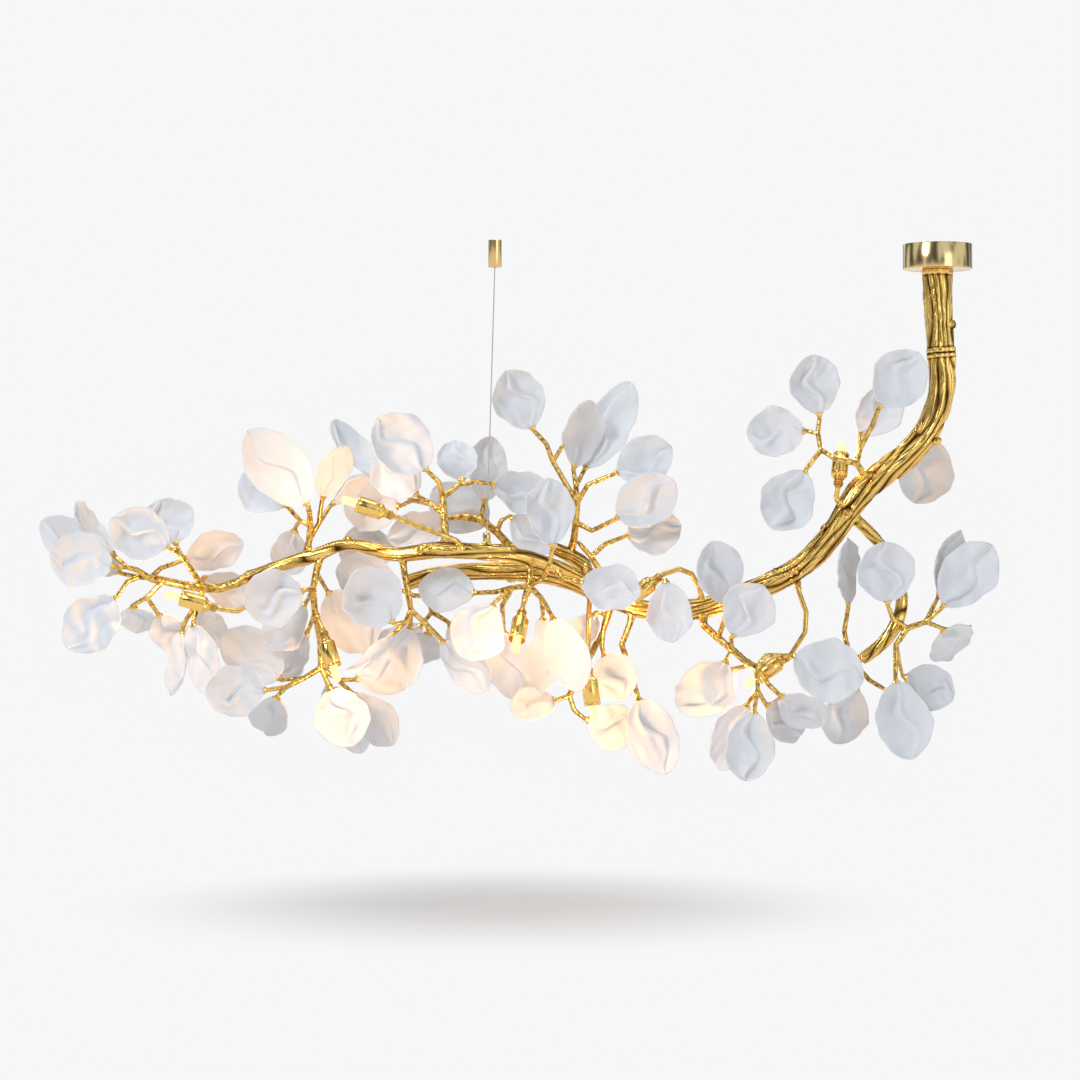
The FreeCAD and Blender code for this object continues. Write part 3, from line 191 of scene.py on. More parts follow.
@dataclass
class Finish:
    """Shader nodes added one by one, to a new material or to a given tree."""

    name: str
    tree: bpy.types.NodeTree = None
    material: bpy.types.Material = None

    def __post_init__(self) -> None:
        """Makes the material where no tree is given, and empties the tree."""
        if self.tree is None:
            self.material = bpy.data.materials.new(self.name)
            self.material.use_nodes = True
            self.tree = self.material.node_tree
        self.tree.nodes.clear()

    def node(self, kind: str, settings: dict = None, inputs: dict = None, output: object = 0) -> Signal:
        """Adds one node.

        Args:
            kind: the node's type.
            settings: properties set first.
            inputs: socket name or number to a value or a signal.
            output: name or number of the output that is handed back.

        Returns:
            The chosen output.
        """
        made = self.tree.nodes.new(kind)
        for key, value in (settings or {}).items():
            setattr(made, key, value)
        for key, value in (inputs or {}).items():
            if isinstance(value, Signal):
                self.tree.links.new(value.socket, made.inputs[key])
            else:
                made.inputs[key].default_value = value
        return Signal(self, made.outputs[output]) if len(made.outputs) else None

    def place(self) -> Signal:
        """Object coordinates."""
        return self.node("ShaderNodeTexCoord", output="Object")

    def noise(self, scale: float, detail: float = 3.0, at: Signal = None) -> Signal:
        """Value noise on object coordinates."""
        return self.node("ShaderNodeTexNoise", None, {"Vector": at or self.place(), "Scale": scale, "Detail": detail},
                         "Fac")

    def mark(self, name: str) -> Signal:
        """A value stored on the mesh's points."""
        return self.node("ShaderNodeAttribute", {"attribute_name": name}, output="Fac")

    def mix(self, share: object, low: tuple, high: tuple) -> Signal:
        """Colour between two colours by a share."""
        return self.node("ShaderNodeMix", {"data_type": "RGBA", "clamp_factor": True}, {0: share, 6: low, 7: high}, 2)

    def bump(self, height: Signal, strength: float, distance: float) -> Signal:
        """Surface normal of a height."""
        return self.node("ShaderNodeBump", None, {"Strength": strength, "Distance": distance, "Height": height},
                         "Normal")

    def shade(self, **inputs: object) -> Signal:
        """The principled surface with sockets given by their names, spaces as underscores."""
        return self.node("ShaderNodeBsdfPrincipled", None, {k.replace("_", " "): v for k, v in inputs.items()})

    def finish(self, surface: Signal) -> bpy.types.Material:
        """Links the surface to the output."""
        self.node("ShaderNodeOutputMaterial", None, {"Surface": surface})
        return self.material


@dataclass(frozen=True)
class CastBrass:
    """Polished cast brass: bright folds and grooves painted dark brown, painted shade that partly stands for patina.
    """

    name: str = "cast_brass"
    bright: tuple = (0.92, 0.60, 0.17, 1.0)
    middle: tuple = (0.68, 0.37, 0.065, 1.0)
    # colour of the painted shade in the grooves, partly patina
    groove: tuple = (0.055, 0.022, 0.004, 1.0)
    fine_scale: float = 420.0
    cloud_scale: float = 38.0
    relief: float = 0.22
    depth: float = 0.6 * MM

    def make(self) -> bpy.types.Material:
        """Colour goes from bright to brown with the stored cavity, which paints shade into the hollows, partly as
        patina; roughness goes with the cavity and with fine noise.
        """
        kit = Finish(self.name)
        cavity = kit.mark("cavity")
        fine = kit.noise(self.fine_scale, 4.0)
        cloud = kit.noise(self.cloud_scale, 3.0)
        # painted shade: the stored cavity keeps the folds light and turns the grooves dark brown, near black at the
        # deepest
        tone = kit.mix(cavity + (cloud - 0.5) * 0.35, self.bright, self.middle)
        deep = kit.mix((cavity * 1.45 - 0.42) + (fine - 0.5) * 0.2, tone, self.groove)
        rough = 0.13 + cavity * 0.22 + cloud * 0.12
        normal = kit.bump(fine, self.relief, self.depth)
        return kit.finish(kit.shade(Base_Color=deep, Metallic=1.0, Roughness=rough, Normal=normal))


@dataclass(frozen=True)
class TurnedBrass:
    """Brushed or polished turned brass, smooth, with fine lines."""

    name: str = "satin_brass"
    light: tuple = (0.80, 0.58, 0.27, 1.0)
    dark: tuple = (0.74, 0.52, 0.23, 1.0)
    roughness: float = 0.19
    lines: float = 900.0
    drawn_out: tuple = (0.06, 0.06, 1.0)
    relief: float = 0.025
    depth: float = 0.1 * MM

    def make(self) -> bpy.types.Material:
        """Fine noise drawn out sideways gives the brushing in colour, roughness and bump."""
        kit = Finish(self.name)
        drawn = kit.node("ShaderNodeMapping", None, {"Vector": kit.place(), "Scale": self.drawn_out})
        brush = kit.noise(self.lines, 2.0, drawn)
        tone = kit.mix(brush, self.light, self.dark)
        normal = kit.bump(brush, self.relief, self.depth)
        rough = self.roughness + (brush - 0.5) * 0.06
        return kit.finish(kit.shade(Base_Color=tone, Metallic=1.0, Roughness=rough, Normal=normal))


@dataclass(frozen=True)
class Bisque:
    """Unglazed porcelain, thin enough to glow in front of a lamp."""

    name: str = "porcelain"
    body: tuple = (0.88, 0.90, 0.94, 1.0)
    warm: tuple = (0.80, 0.81, 0.84, 1.0)
    through: tuple = (0.98, 0.80, 0.56, 1.0)
    share: float = 0.15
    roughness: float = 0.58
    cloud_scale: float = 22.0
    grain_scale: float = 1500.0
    dimple_scale: float = 90.0
    relief: float = 0.10
    depth: float = 0.8 * MM

    def make(self) -> bpy.types.Material:
        """A matt surface mixed with a share of light that comes through."""
        kit = Finish(self.name)
        cloud = kit.noise(self.cloud_scale, 3.0)
        grain = kit.noise(self.grain_scale, 2.0)
        tone = kit.mix(cloud, self.body, self.warm)
        normal = kit.bump(grain + kit.noise(self.dimple_scale, 2.0) * 2.0, self.relief, self.depth)
        face = kit.shade(Base_Color=tone, Roughness=self.roughness + (grain - 0.5) * 0.1, Normal=normal)
        glow = kit.node("ShaderNodeBsdfTranslucent", None, {"Color": self.through, "Normal": normal})
        return kit.finish(kit.node("ShaderNodeMixShader", None, {0: self.share, 1: face, 2: glow}))


@dataclass(frozen=True)
class LampGlow:
    """Capsule glass lit from inside: whitest at its middle, amber at its ends."""

    name: str = "lamp_glass"
    core: tuple = (1.0, 0.88, 0.50, 1.0)
    ends: tuple = (1.0, 0.70, 0.24, 1.0)
    strength: float = 1.08
    glass: tuple = (0.12, 0.10, 0.06, 1.0)
    roughness: float = 0.12

    def make(self) -> bpy.types.Material:
        """Emission between two colours by the stored distance along the lamp."""
        kit = Finish(self.name)
        tone = kit.mix(kit.mark("cavity"), self.core, self.ends)
        return kit.finish(kit.shade(Base_Color=self.glass, Roughness=self.roughness, Emission_Color=tone,
                                    Emission_Strength=self.strength))


@dataclass(frozen=True)
class Plain:
    """Plain material with a slight unevenness of tone and roughness."""

    name: str
    light: tuple
    dark: tuple
    metallic: float
    roughness: float
    scale: float = 160.0
    relief: float = 0.08
    depth: float = 0.4 * MM

    def make(self) -> bpy.types.Material:
        """Noise between two tones, and the same noise in roughness and bump."""
        kit = Finish(self.name)
        cloud = kit.noise(self.scale, 3.0)
        normal = kit.bump(cloud, self.relief, self.depth)
        return kit.finish(kit.shade(Base_Color=kit.mix(cloud, self.light, self.dark), Metallic=self.metallic,
                                    Roughness=self.roughness + (cloud - 0.5) * 0.1, Normal=normal))


@dataclass
class Shells:
    """Closed shells that end up in one piece."""

    points: list = field(default_factory=list)
    faces: list = field(default_factory=list)
    marks: list = field(default_factory=list)
    count: int = 0

    def band(self, grid: np.ndarray, mark: np.ndarray = None) -> None:
        """Adds rings that are skinned in order and closed at both ends.

        Args:
            grid: rings by points by coordinates, each ring turning the same way about the run of the rings.
            mark: one stored value per grid point.
        """
        rings, around, _ = grid.shape
        index = np.arange(rings * around).reshape(rings, around) + self.count
        ahead = np.roll(index, -1, axis=1)
        quads = np.stack([index[:-1], ahead[:-1], ahead[1:], index[1:]], -1).reshape(-1, 4)
        self.faces += quads.tolist() + [index[0, ::-1].tolist(), index[-1].tolist()]
        self.points.append(grid.reshape(-1, 3))
        self.marks.append(np.broadcast_to(0.0 if mark is None else mark, (rings, around)).ravel())
        self.count += rings * around

    def lathe(self, foot: np.ndarray, axis: np.ndarray, profile: list, sides: int = 32,
              mark: list = None) -> None:
        """Adds a turned form: circles of the profile's radii at its distances along the axis, in millimetres."""
        distance, radius = np.array(profile, float).T * MM
        u, v = square_to(axis)
        turn = np.linspace(0, 2 * math.pi, sides, endpoint=False)
        ring = np.cos(turn)[:, None] * u + np.sin(turn)[:, None] * v
        grid = foot + distance[:, None, None] * axis + radius[:, None, None] * ring
        self.band(grid, None if mark is None else np.asarray(mark)[:, None])

    def piece(self, name: str, material: bpy.types.Material, replaces: tuple, body: str = BODY,
              sharp: float = 50.0) -> bpy.types.Object:
        """Makes the piece, dresses it and lets it ride on its body."""
        obj = make_mesh(name, np.concatenate(self.points), self.faces, np.concatenate(self.marks), sharp)
        return dress(obj, material, replaces, body)


def make_mesh(name: str, points: np.ndarray, faces: list, marks: np.ndarray, sharp: float) -> bpy.types.Object:
    """Object of the given points and faces, smooth but for edges sharper than the angle in degrees."""
    mesh = bpy.data.meshes.new(name)
    mesh.from_pydata(points.tolist(), [], faces)
    layer = mesh.attributes.new("cavity", "FLOAT", "POINT")
    layer.data.foreach_set("value", np.asarray(marks, np.float32))
    mesh.polygons.foreach_set("use_smooth", np.ones(len(mesh.polygons), bool))
    mesh.set_sharp_from_angle(angle=math.radians(sharp))
    mesh.update()
    obj = bpy.data.objects.new(name, mesh)
    bpy.context.scene.collection.objects.link(obj)
    return obj


def dress(obj: bpy.types.Object, material: bpy.types.Material, replaces: tuple,
          body: str = BODY) -> bpy.types.Object:
    """Gives a piece its material, its body and the nodes that it stands for."""
    obj.data.materials.clear()
    obj.data.materials.append(material)
    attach(obj, body)
    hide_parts(*replaces)
    LOG.info("%s: %d faces", obj.name, len(obj.data.polygons))
    return obj


def recolour(nodes: tuple, material: bpy.types.Material) -> None:
    """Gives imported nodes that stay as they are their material."""
    for node in nodes:
        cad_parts[node].data.materials.clear()
        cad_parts[node].data.materials.append(material)


def node_mesh(name: str) -> tuple[np.ndarray, np.ndarray]:
    """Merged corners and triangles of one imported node."""
    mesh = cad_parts[name].data
    points = np.empty(len(mesh.vertices) * 3, np.float32)
    mesh.vertices.foreach_get("co", points)
    mesh.calc_loop_triangles()
    triangles = np.empty(len(mesh.loop_triangles) * 3, np.int32)
    mesh.loop_triangles.foreach_get("vertices", triangles)
    merged, back = np.unique(np.round(points.reshape(-1, 3).astype(float), 6), axis=0, return_inverse=True)
    return merged, back.ravel()[triangles].reshape(-1, 3)


def solids_of(name: str) -> list[np.ndarray]:
    """Corners of each separate solid of a node: labels spread over the triangles until they settle."""
    points, triangles = node_mesh(name)
    label = np.arange(len(points))
    while True:
        low = label[triangles].min(1)
        spread = label.copy()
        np.minimum.at(spread, triangles.ravel(), np.repeat(low, 3))
        if (spread == label).all():
            break
        label = spread
    return [points[label == value] for value in np.unique(label)]


def skinned(name: str, nodes: tuple, voxel: float,
            rounds: int) -> tuple[bpy.types.Mesh, np.ndarray, np.ndarray, np.ndarray]:
    """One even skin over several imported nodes, softened so that branches flow into each other.

    Args:
        name: name of the piece.
        nodes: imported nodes.
        voxel: size of the grid.
        rounds: how often it is softened.

    Returns:
        The skin, then all packed corners, all triangles and the node number of each triangle.
    """
    points, triangles, owner, start = [], [], [], 0
    for number, node in enumerate(nodes):
        corner, triangle = node_mesh(node)
        points.append(corner)
        triangles.append(triangle + start)
        owner.append(np.full(len(triangle), number))
        start += len(corner)
    points, triangles = np.concatenate(points), np.concatenate(triangles)
    mesh = bpy.data.meshes.new(name)
    mesh.from_pydata(points.tolist(), [], triangles.tolist())
    obj = bpy.data.objects.new(name, mesh)
    bpy.context.scene.collection.objects.link(obj)
    skin = obj.modifiers.new("skin", "REMESH")
    skin.mode = "VOXEL"
    skin.voxel_size = voxel
    soft = obj.modifiers.new("soft", "SMOOTH")
    soft.factor = 0.5
    soft.iterations = rounds
    held = bpy.data.meshes.new_from_object(obj.evaluated_get(bpy.context.evaluated_depsgraph_get()))
    bpy.data.objects.remove(obj)
    return held, points, triangles, np.concatenate(owner)


def mesh_arrays(mesh: bpy.types.Mesh) -> tuple[np.ndarray, np.ndarray, np.ndarray]:
    """Corners, normals and four-sided faces of a mesh."""
    points = np.empty(len(mesh.vertices) * 3, np.float32)
    mesh.vertices.foreach_get("co", points)
    normals = np.empty(len(mesh.vertices) * 3, np.float32)
    mesh.vertex_normals.foreach_get("vector", normals)
    corners = np.empty(len(mesh.loops), np.int32)
    mesh.loops.foreach_get("vertex_index", corners)
    return points.reshape(-1, 3).astype(float), normals.reshape(-1, 3).astype(float), corners.reshape(-1, 4)


@dataclass
class Boughs:
    """The cast tree: boughs and twigs as one flowing skin, cut back into its castings."""

    brass: bpy.types.Material
    voxel: float = 1.35 * MM
    rounds: int = 3
    step: float = 3.0
    ease: int = 12
    fold: float = 0.125
    fine: float = 0.050
    fleck: float = 0.22 * MM
    swell: float = 0.35 * MM
    twig_swell: float = 1.05 * MM
    knot_rise: float = 1.1 * MM
    knot_reach: float = 9.0
    knot_wave: float = 1.15
    collar_reach: float = 0.045
    bark_end: float = 1.45
    bark_fade: float = 0.25
    ease_end: float = 2.6
    ease_fade: float = 1.4
    twig_relief: float = 0.5 * MM

    def lines(self) -> dict:
        """Points, directions, radii, lengths and fold counts every few millimetres along all the boughs."""
        rows = {"at": [], "way": [], "r": [], "s": [], "folds": [], "ease": []}
        for number, (name, route) in enumerate(ROUTES.items()):
            route = np.array(route, float)
            runs = np.linalg.norm(np.diff(route[:, :3], axis=0), axis=1)
            length = np.concatenate([[0], np.cumsum(runs)])
            s = np.arange(0, length[-1], self.step)
            path = np.stack([np.interp(s, length, route[:, k]) for k in range(4)], 1)
            reach = np.arange(-self.ease, self.ease + 1)
            weight = 1 + np.cos(math.pi * reach / (self.ease + 1))
            padded = np.concatenate([2 * path[:1, :3] - path[self.ease:0:-1, :3], path[:, :3],
                                     2 * path[-1:, :3] - path[-2:-self.ease - 2:-1, :3]])
            eased = np.stack([np.convolve(padded[:, k], weight / weight.sum(), "valid") for k in range(3)], 1)
            rows["ease"].append((eased - path[:, :3]) * MM)
            rows["at"].append(place(path[:, :3]))
            rows["way"].append(unit(np.gradient(path[:, :3], axis=0)))
            rows["r"].append(path[:, 3] * MM)
            rows["s"].append(s * MM + number * 3.0)
            rows["folds"].append(np.full(len(s), float(FOLDS[name])))
        return {key: np.concatenate(value) for key, value in rows.items()}

    def nearest(self, points: np.ndarray, line: dict) -> np.ndarray:
        """Number of the sample that lies nearest each point, counted in that sample's radii."""
        return np.concatenate([
            np.argmin(((part[:, None] - line["at"][None]) ** 2).sum(2) / line["r"] ** 2, axis=1)
            for part in np.array_split(points.astype(np.float32), max(1, len(points) // 12000))])

    def bark(self, points: np.ndarray, line: dict, near: np.ndarray) -> tuple[np.ndarray, np.ndarray]:
        """Relief and cavity on the boughs.

        Height is a share of the radius times folds and fine folds, each the absolute sine of the angle round the
        bough, bent by smooth uneven fields so that the folds wander, meet and part along it.

        Args:
            points: places on the boughs.
            line: samples of the boughs' routes.
            near: the nearest sample of each place.

        Returns:
            Height in metres, and cavity from 0 on a fold to 1 in a groove; the cavity darkens the brass as painted
            shade, partly patina.
        """
        way, off = line["way"][near], points - line["at"][near]
        u = unit(np.array([0.0, -1.0, 0.0]) + way * way[:, 1:2])
        v = np.cross(way, u)
        out = off - way * (off * way).sum(1, keepdims=True)
        turn = np.arctan2((out * v).sum(1), (out * u).sum(1))
        along = line["s"][near] + (off * way).sum(1)
        reach = np.linalg.norm(out, axis=1) / line["r"][near]
        round_it = np.stack([along / 0.040, np.cos(turn) * 1.1, np.sin(turn) * 1.1], 1)
        bend, twist = ripple(round_it, 4.0, 11), ripple(round_it, 2.2, 12)
        folds = line["folds"][near]
        coarse = np.abs(np.sin(folds / 2 * turn + 7.0 * along + 3.0 * bend)) ** 0.75
        small = np.abs(np.sin((folds + 3) * turn + 11.0 * along + 2.6 * twist)) ** 0.9
        fleck = ripple(np.stack([along / 0.012, np.cos(turn) * 6, np.sin(turn) * 6], 1), 5.0, 13)
        height = line["r"][near] * (self.fold * (coarse - 0.62) * (1 + 0.5 * twist) + self.fine * (small - 0.6))
        height = height + self.fleck * fleck
        # painted shade, partly patina: the cavity is high in the bark's grooves and low on its folds
        cavity = np.clip(1.12 - coarse * (0.75 + 0.25 * small) * 1.2 - 0.12 * fleck, 0, 1)
        fade = np.clip((self.bark_end - reach) / self.bark_fade, 0, 1)
        for knot in place(KNOTS):
            d = np.linalg.norm(points - knot, axis=1) / MM
            ring, wave = np.exp(-d / self.knot_reach), np.cos(d * self.knot_wave)
            height = height + ring * self.knot_rise * wave
            # painted shade in the troughs between the knot's rings
            cavity = np.clip(cavity + ring * 0.7 * (0.5 - 0.5 * wave), 0, 1)
        for x, y, z, rise, half in COLLARS:
            away = points - place((x, y, z))
            run = (away * way).sum(1) / MM
            close = np.linalg.norm(away, axis=1) < self.collar_reach
            band = np.exp(-(run / half) ** 4) * close
            rim = np.exp(-((np.abs(run) - half * 1.25) / 1.2) ** 2) * close
            height = height * (1 - 0.75 * band) + rise * MM * band
            # painted shade in a ring just beyond each end of the collar, lighter on the collar itself
            cavity = np.clip(cavity * (1 - 0.8 * band) + rim * 0.8, 0, 1)
        return height * fade, cavity * fade + (1 - fade) * 0.35

    def twigs(self, points: np.ndarray) -> tuple[np.ndarray, np.ndarray]:
        """Relief and cavity on the twigs: two uneven fields of 9 mm and 4 mm; the cavity paints shade where the
        relief is low, partly as patina.
        """
        rough = ripple(points, 9 * MM, 21) * 0.65 + ripple(points, 4 * MM, 22) * 0.35
        # painted shade: the cavity is darker where the twig's relief sinks
        return rough * self.twig_relief, np.clip(0.40 - rough * 0.42, 0, 1)

    def build(self) -> None:
        """Skins the tree, raises its bark and cuts it back into one piece per casting."""
        twig_nodes = tuple(sorted(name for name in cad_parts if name.startswith("twigs_")))
        nodes = LIMB_NODES + twig_nodes
        held, corners, triangles, owner = skinned("tree", nodes, self.voxel, self.rounds)
        points, normals, quads = mesh_arrays(held)
        tree = BVHTree.FromPolygons(corners.tolist(), triangles.tolist())
        number = owner[np.array([tree.find_nearest(point)[2] for point in points.tolist()])]
        on_bough = number < len(LIMB_NODES)
        height, cavity = self.twigs(points)
        line = self.lines()
        near = self.nearest(points, line)
        height[on_bough], cavity[on_bough] = self.bark(points[on_bough], line, near[on_bough])
        apart = np.linalg.norm(points - line["at"][near], axis=1) / line["r"][near]
        points = points + line["ease"][near] * np.clip((self.ease_end - apart) / self.ease_fade, 0, 1)[:, None]
        swell = np.where(on_bough, self.swell, self.twig_swell)
        points = points + normals * (height + swell)[:, None]
        points[:, 2] = np.minimum(points[:, 2], -CANOPY_DROP * MM)
        face_owner = number[quads].min(1)
        for index, node in enumerate(nodes):
            faces = quads[face_owner == index]
            used, back = np.unique(faces, return_inverse=True)
            obj = make_mesh("cast_" + node, points[used], back.reshape(-1, 4).tolist(), cavity[used], 180.0)
            self.close(obj.data)
            dress(obj, self.brass, (node,))

    @staticmethod
    def close(mesh: bpy.types.Mesh) -> None:
        """Closes a casting where it was cut from its neighbour."""
        work = bmesh.new()
        work.from_mesh(mesh)
        open_edges = [edge for edge in work.edges if edge.is_boundary]
        bmesh.ops.holes_fill(work, edges=open_edges, sides=0)
        work.to_mesh(mesh)
        work.free()


TAB_CORNERS = 12
OUTER_ROW = 0.98
CREASE_SHARE = 0.32


@dataclass
class Petal:
    """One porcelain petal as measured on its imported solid."""

    mouth: np.ndarray
    axis: np.ndarray
    across: np.ndarray
    normal: np.ndarray
    length: float
    width: float
    lift: float
    bow: float
    sink: float
    swing: float

    @staticmethod
    def read(solid: np.ndarray, cups: np.ndarray) -> "Petal":
        """Finds the tab by its cup, then measures the blade's length, width, rim lift, bow and crease.

        Args:
            solid: the petal's corners.
            cups: middle of every cup.

        Returns:
            The measured petal.
        """
        gap = np.linalg.norm(solid[:, None] - cups[None], axis=2)
        cup = cups[gap.min(0).argmin()]
        order = np.argsort(np.linalg.norm(solid - cup, axis=1))
        tab, blade = solid[order[:TAB_CORNERS]], solid[order[TAB_CORNERS:]]
        rough = unit(blade.mean(0) - tab.mean(0))
        tab = tab[np.argsort(tab @ rough)]
        ends = tab[:TAB_CORNERS // 2], tab[TAB_CORNERS // 2:]
        low, mouth = ends[0].mean(0), ends[1].mean(0)
        axis = unit(mouth - low)
        across = np.linalg.svd(ends[1] - mouth)[2][0]
        across = unit(across - axis * (across @ axis))
        normal = np.cross(across, axis)
        off = blade - mouth
        x, y, z = off @ across, off @ axis, off @ normal
        length, half = y.max(), np.abs(x).max() / OUTER_ROW
        u = y / length
        crease = np.abs(x) < CREASE_SHARE * half
        terms = np.stack([-4 * length * u * (1 - u), (x / half) ** 2 * ~crease,
                          -1.0 * crease * np.sin(math.pi * u)], 1)
        bow, lift, sink = np.linalg.lstsq(terms, z, rcond=None)[0]
        first = crease & (u < 0.5)
        swing = x[first].mean() / half / 0.7 if first.any() else 0.2
        if lift < 0:
            across, normal, lift, bow, sink, swing = -across, -normal, -lift, -bow, -sink, -swing
        return Petal(mouth, axis, across, normal, length, 2 * half, lift, bow, sink, swing)


@dataclass
class Blossom:
    """All the petals and the cups that hold them."""

    porcelain: bpy.types.Material
    brass: bpy.types.Material
    rows: int = 40
    columns: int = 45
    thick: float = 2.3 * MM
    neck: float = 4.9 * MM
    cup_long: float = 7.0 * MM
    waves: float = 0.042
    rim_wave: float = 0.040
    rim_notch: float = 0.022
    rim_curl: float = 0.035
    ridge_rise: float = 0.55
    ridge_w: float = 0.09
    lip_at: float = 0.17
    lip_w: float = 0.15
    fold_rise: float = 0.6
    fold_w: float = 0.07
    fold_reach: float = 0.38
    crease_gain: float = 1.7
    tip: float = 0.972
    calm_foot: float = 0.22
    thin_edge: float = 0.35
    edge_round: float = 0.5

    def blade(self, petal: Petal, seed: int) -> np.ndarray:
        """Rings of one petal.

        Half width is a rounded sine of the length, and the face is the rim's lift times the square of the place
        across, a bow along the length, a sharp crease that wanders as a sine between two soft lips, and two soft
        uneven fields. The columns follow the crease.
        """
        rng = np.random.default_rng(seed)
        u = (1 - np.cos(np.linspace(0.0, self.tip, self.rows) * math.pi)) / 2
        t = np.linspace(-1, 1, self.columns)
        t = np.sign(t) * (1 - (1 - np.abs(t)) ** 1.35) * 0.55 + np.sign(t) * np.abs(t) ** 1.5 * 0.45
        full = np.sin(math.pi * u ** rng.uniform(1.0, 1.16)) ** 0.56
        half = petal.width / 2 * full + self.neck * (1 - u) ** 6
        uu = u[:, None]
        swing = petal.swing * 1.3 * np.sin(2 * math.pi * u + 0.5 * rng.normal())
        swing = np.clip(swing + 0.12 * rng.normal() * np.sin(math.pi * u), -0.5, 0.5)[:, None] * full[:, None]
        vv = t[None] + swing * (1 - t[None] ** 2)
        slow = np.sin(uu * math.pi * rng.uniform(2.4, 3.6) + rng.uniform(0, 6.3) + t[None] * 1.2)
        quick = np.sin(uu * math.pi * rng.uniform(6, 8) + rng.uniform(0, 6.3) + t[None] * 2.4)
        x = half[:, None] * vv * (1 + self.rim_wave * slow + self.rim_notch * quick)
        depth = (np.sin(math.pi * u) ** 0.6)[:, None]
        side = rng.choice([-1.0, 1.0])
        ridge = self.ridge_rise * np.exp(-np.abs(t[None]) / self.ridge_w)
        ridge = ridge - self.ridge_rise * np.exp(-((t[None] * side - self.lip_at) / self.lip_w) ** 2)
        fall = np.exp(-np.abs(t[None]) / self.fold_reach)
        ridge = ridge - self.fold_rise * np.tanh(t[None] * side / self.fold_w) * fall
        ridge = ridge * (0.75 + 0.45 * np.sin(uu * math.pi * rng.uniform(1.5, 3.5) + rng.uniform(0, 6.3)))
        edge = np.abs(vv) ** 2.2 * full[:, None]
        z = petal.lift * edge - 4 * petal.bow * petal.length * uu * (1 - uu)
        z = z - petal.sink * depth * ridge * self.crease_gain
        spot = np.stack([x / petal.width, uu + 0 * x, 0 * x + seed], -1).reshape(-1, 3)
        soft = ripple(spot, 0.62, seed + 5) + 0.42 * ripple(spot, 0.27, seed + 6)
        rim = ripple(spot, 0.42, seed + 7) * np.broadcast_to(np.abs(t[None]) ** 3, x.shape).ravel()
        grow = np.clip(u / self.calm_foot, 0, 1)[:, None]
        z = z + petal.width * (self.waves * soft + self.rim_curl * rim).reshape(z.shape) * grow
        middle = petal.mouth + x[..., None] * petal.across + (uu * petal.length)[..., None] * petal.axis
        middle = middle + z[..., None] * petal.normal
        du, dv = np.gradient(middle, axis=0), np.gradient(middle, axis=1)
        up = unit(np.cross(dv, du))
        up = up * np.sign((up * petal.normal).sum(-1, keepdims=True))
        half_t = (self.thick / 2 * (1 - self.thin_edge * np.abs(t[None]) ** 5))[..., None]
        half_t = half_t * np.ones((self.rows, 1, 1))
        top, low = middle + up * half_t, middle - up * half_t
        side = unit(middle[:, -1:] - middle[:, -2:-1]) * self.edge_round * MM
        other = unit(middle[:, :1] - middle[:, 1:2]) * self.edge_round * MM
        grid = np.concatenate([top, middle[:, -1:] + side, low[:, ::-1], middle[:, :1] + other], axis=1)
        return np.clip(grid, *np.array(BOX_AT_START))

    def cup(self, shells: Shells, petal: Petal) -> None:
        """Flared, flattened cup: rounded ovals that widen from the twig's end to the lip, then turn inside."""
        steps = [(0.0, 3.1, 3.1), (0.12, 3.7, 3.6), (0.30, 3.6, 3.4), (0.62, 4.9, 3.3), (0.90, 6.9, 3.6),
                 (1.04, 7.4, 3.9), (1.10, 7.0, 3.5), (1.04, 6.2, 2.5), (0.70, 5.3, 1.6)]
        turn = np.linspace(0, 2 * math.pi, 18, endpoint=False)
        foot = petal.mouth - petal.axis * self.cup_long
        rings = []
        for along, wide, deep in steps:
            x = np.sign(np.cos(turn)) * np.abs(np.cos(turn)) ** 0.8 * wide * MM
            y = np.sign(np.sin(turn)) * np.abs(np.sin(turn)) ** 0.8 * deep * MM
            rings.append(foot + petal.axis * self.cup_long * along + x[:, None] * petal.across
                         - y[:, None] * petal.normal)
        # painted shade: the cup is marked darker at its foot and waist and darkest inside the lip
        shells.band(np.array(rings), np.array([0.5, 0.25, 0.5, 0.2, 0.05, 0.0, 0.1, 0.7, 1.0])[:, None])

    def build(self) -> None:
        """Makes one piece for each node of petals and one of all the cups."""
        cups = np.array([solid.mean(0) for solid in solids_of("petal_cups")])
        holders, count = Shells(), 0
        for node in sorted(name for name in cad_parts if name.startswith("petals_")):
            group = Shells()
            for number, solid in enumerate(solids_of(node)):
                petal = Petal.read(solid, cups)
                group.band(self.blade(petal, 31 * number + len(node) * 7 + count))
                self.cup(holders, petal)
                count += 1
            group.piece("bisque_" + node, self.porcelain, (node,), sharp=80.0)
        holders.piece("petal_holders", self.brass, ("petal_cups",), sharp=70.0)


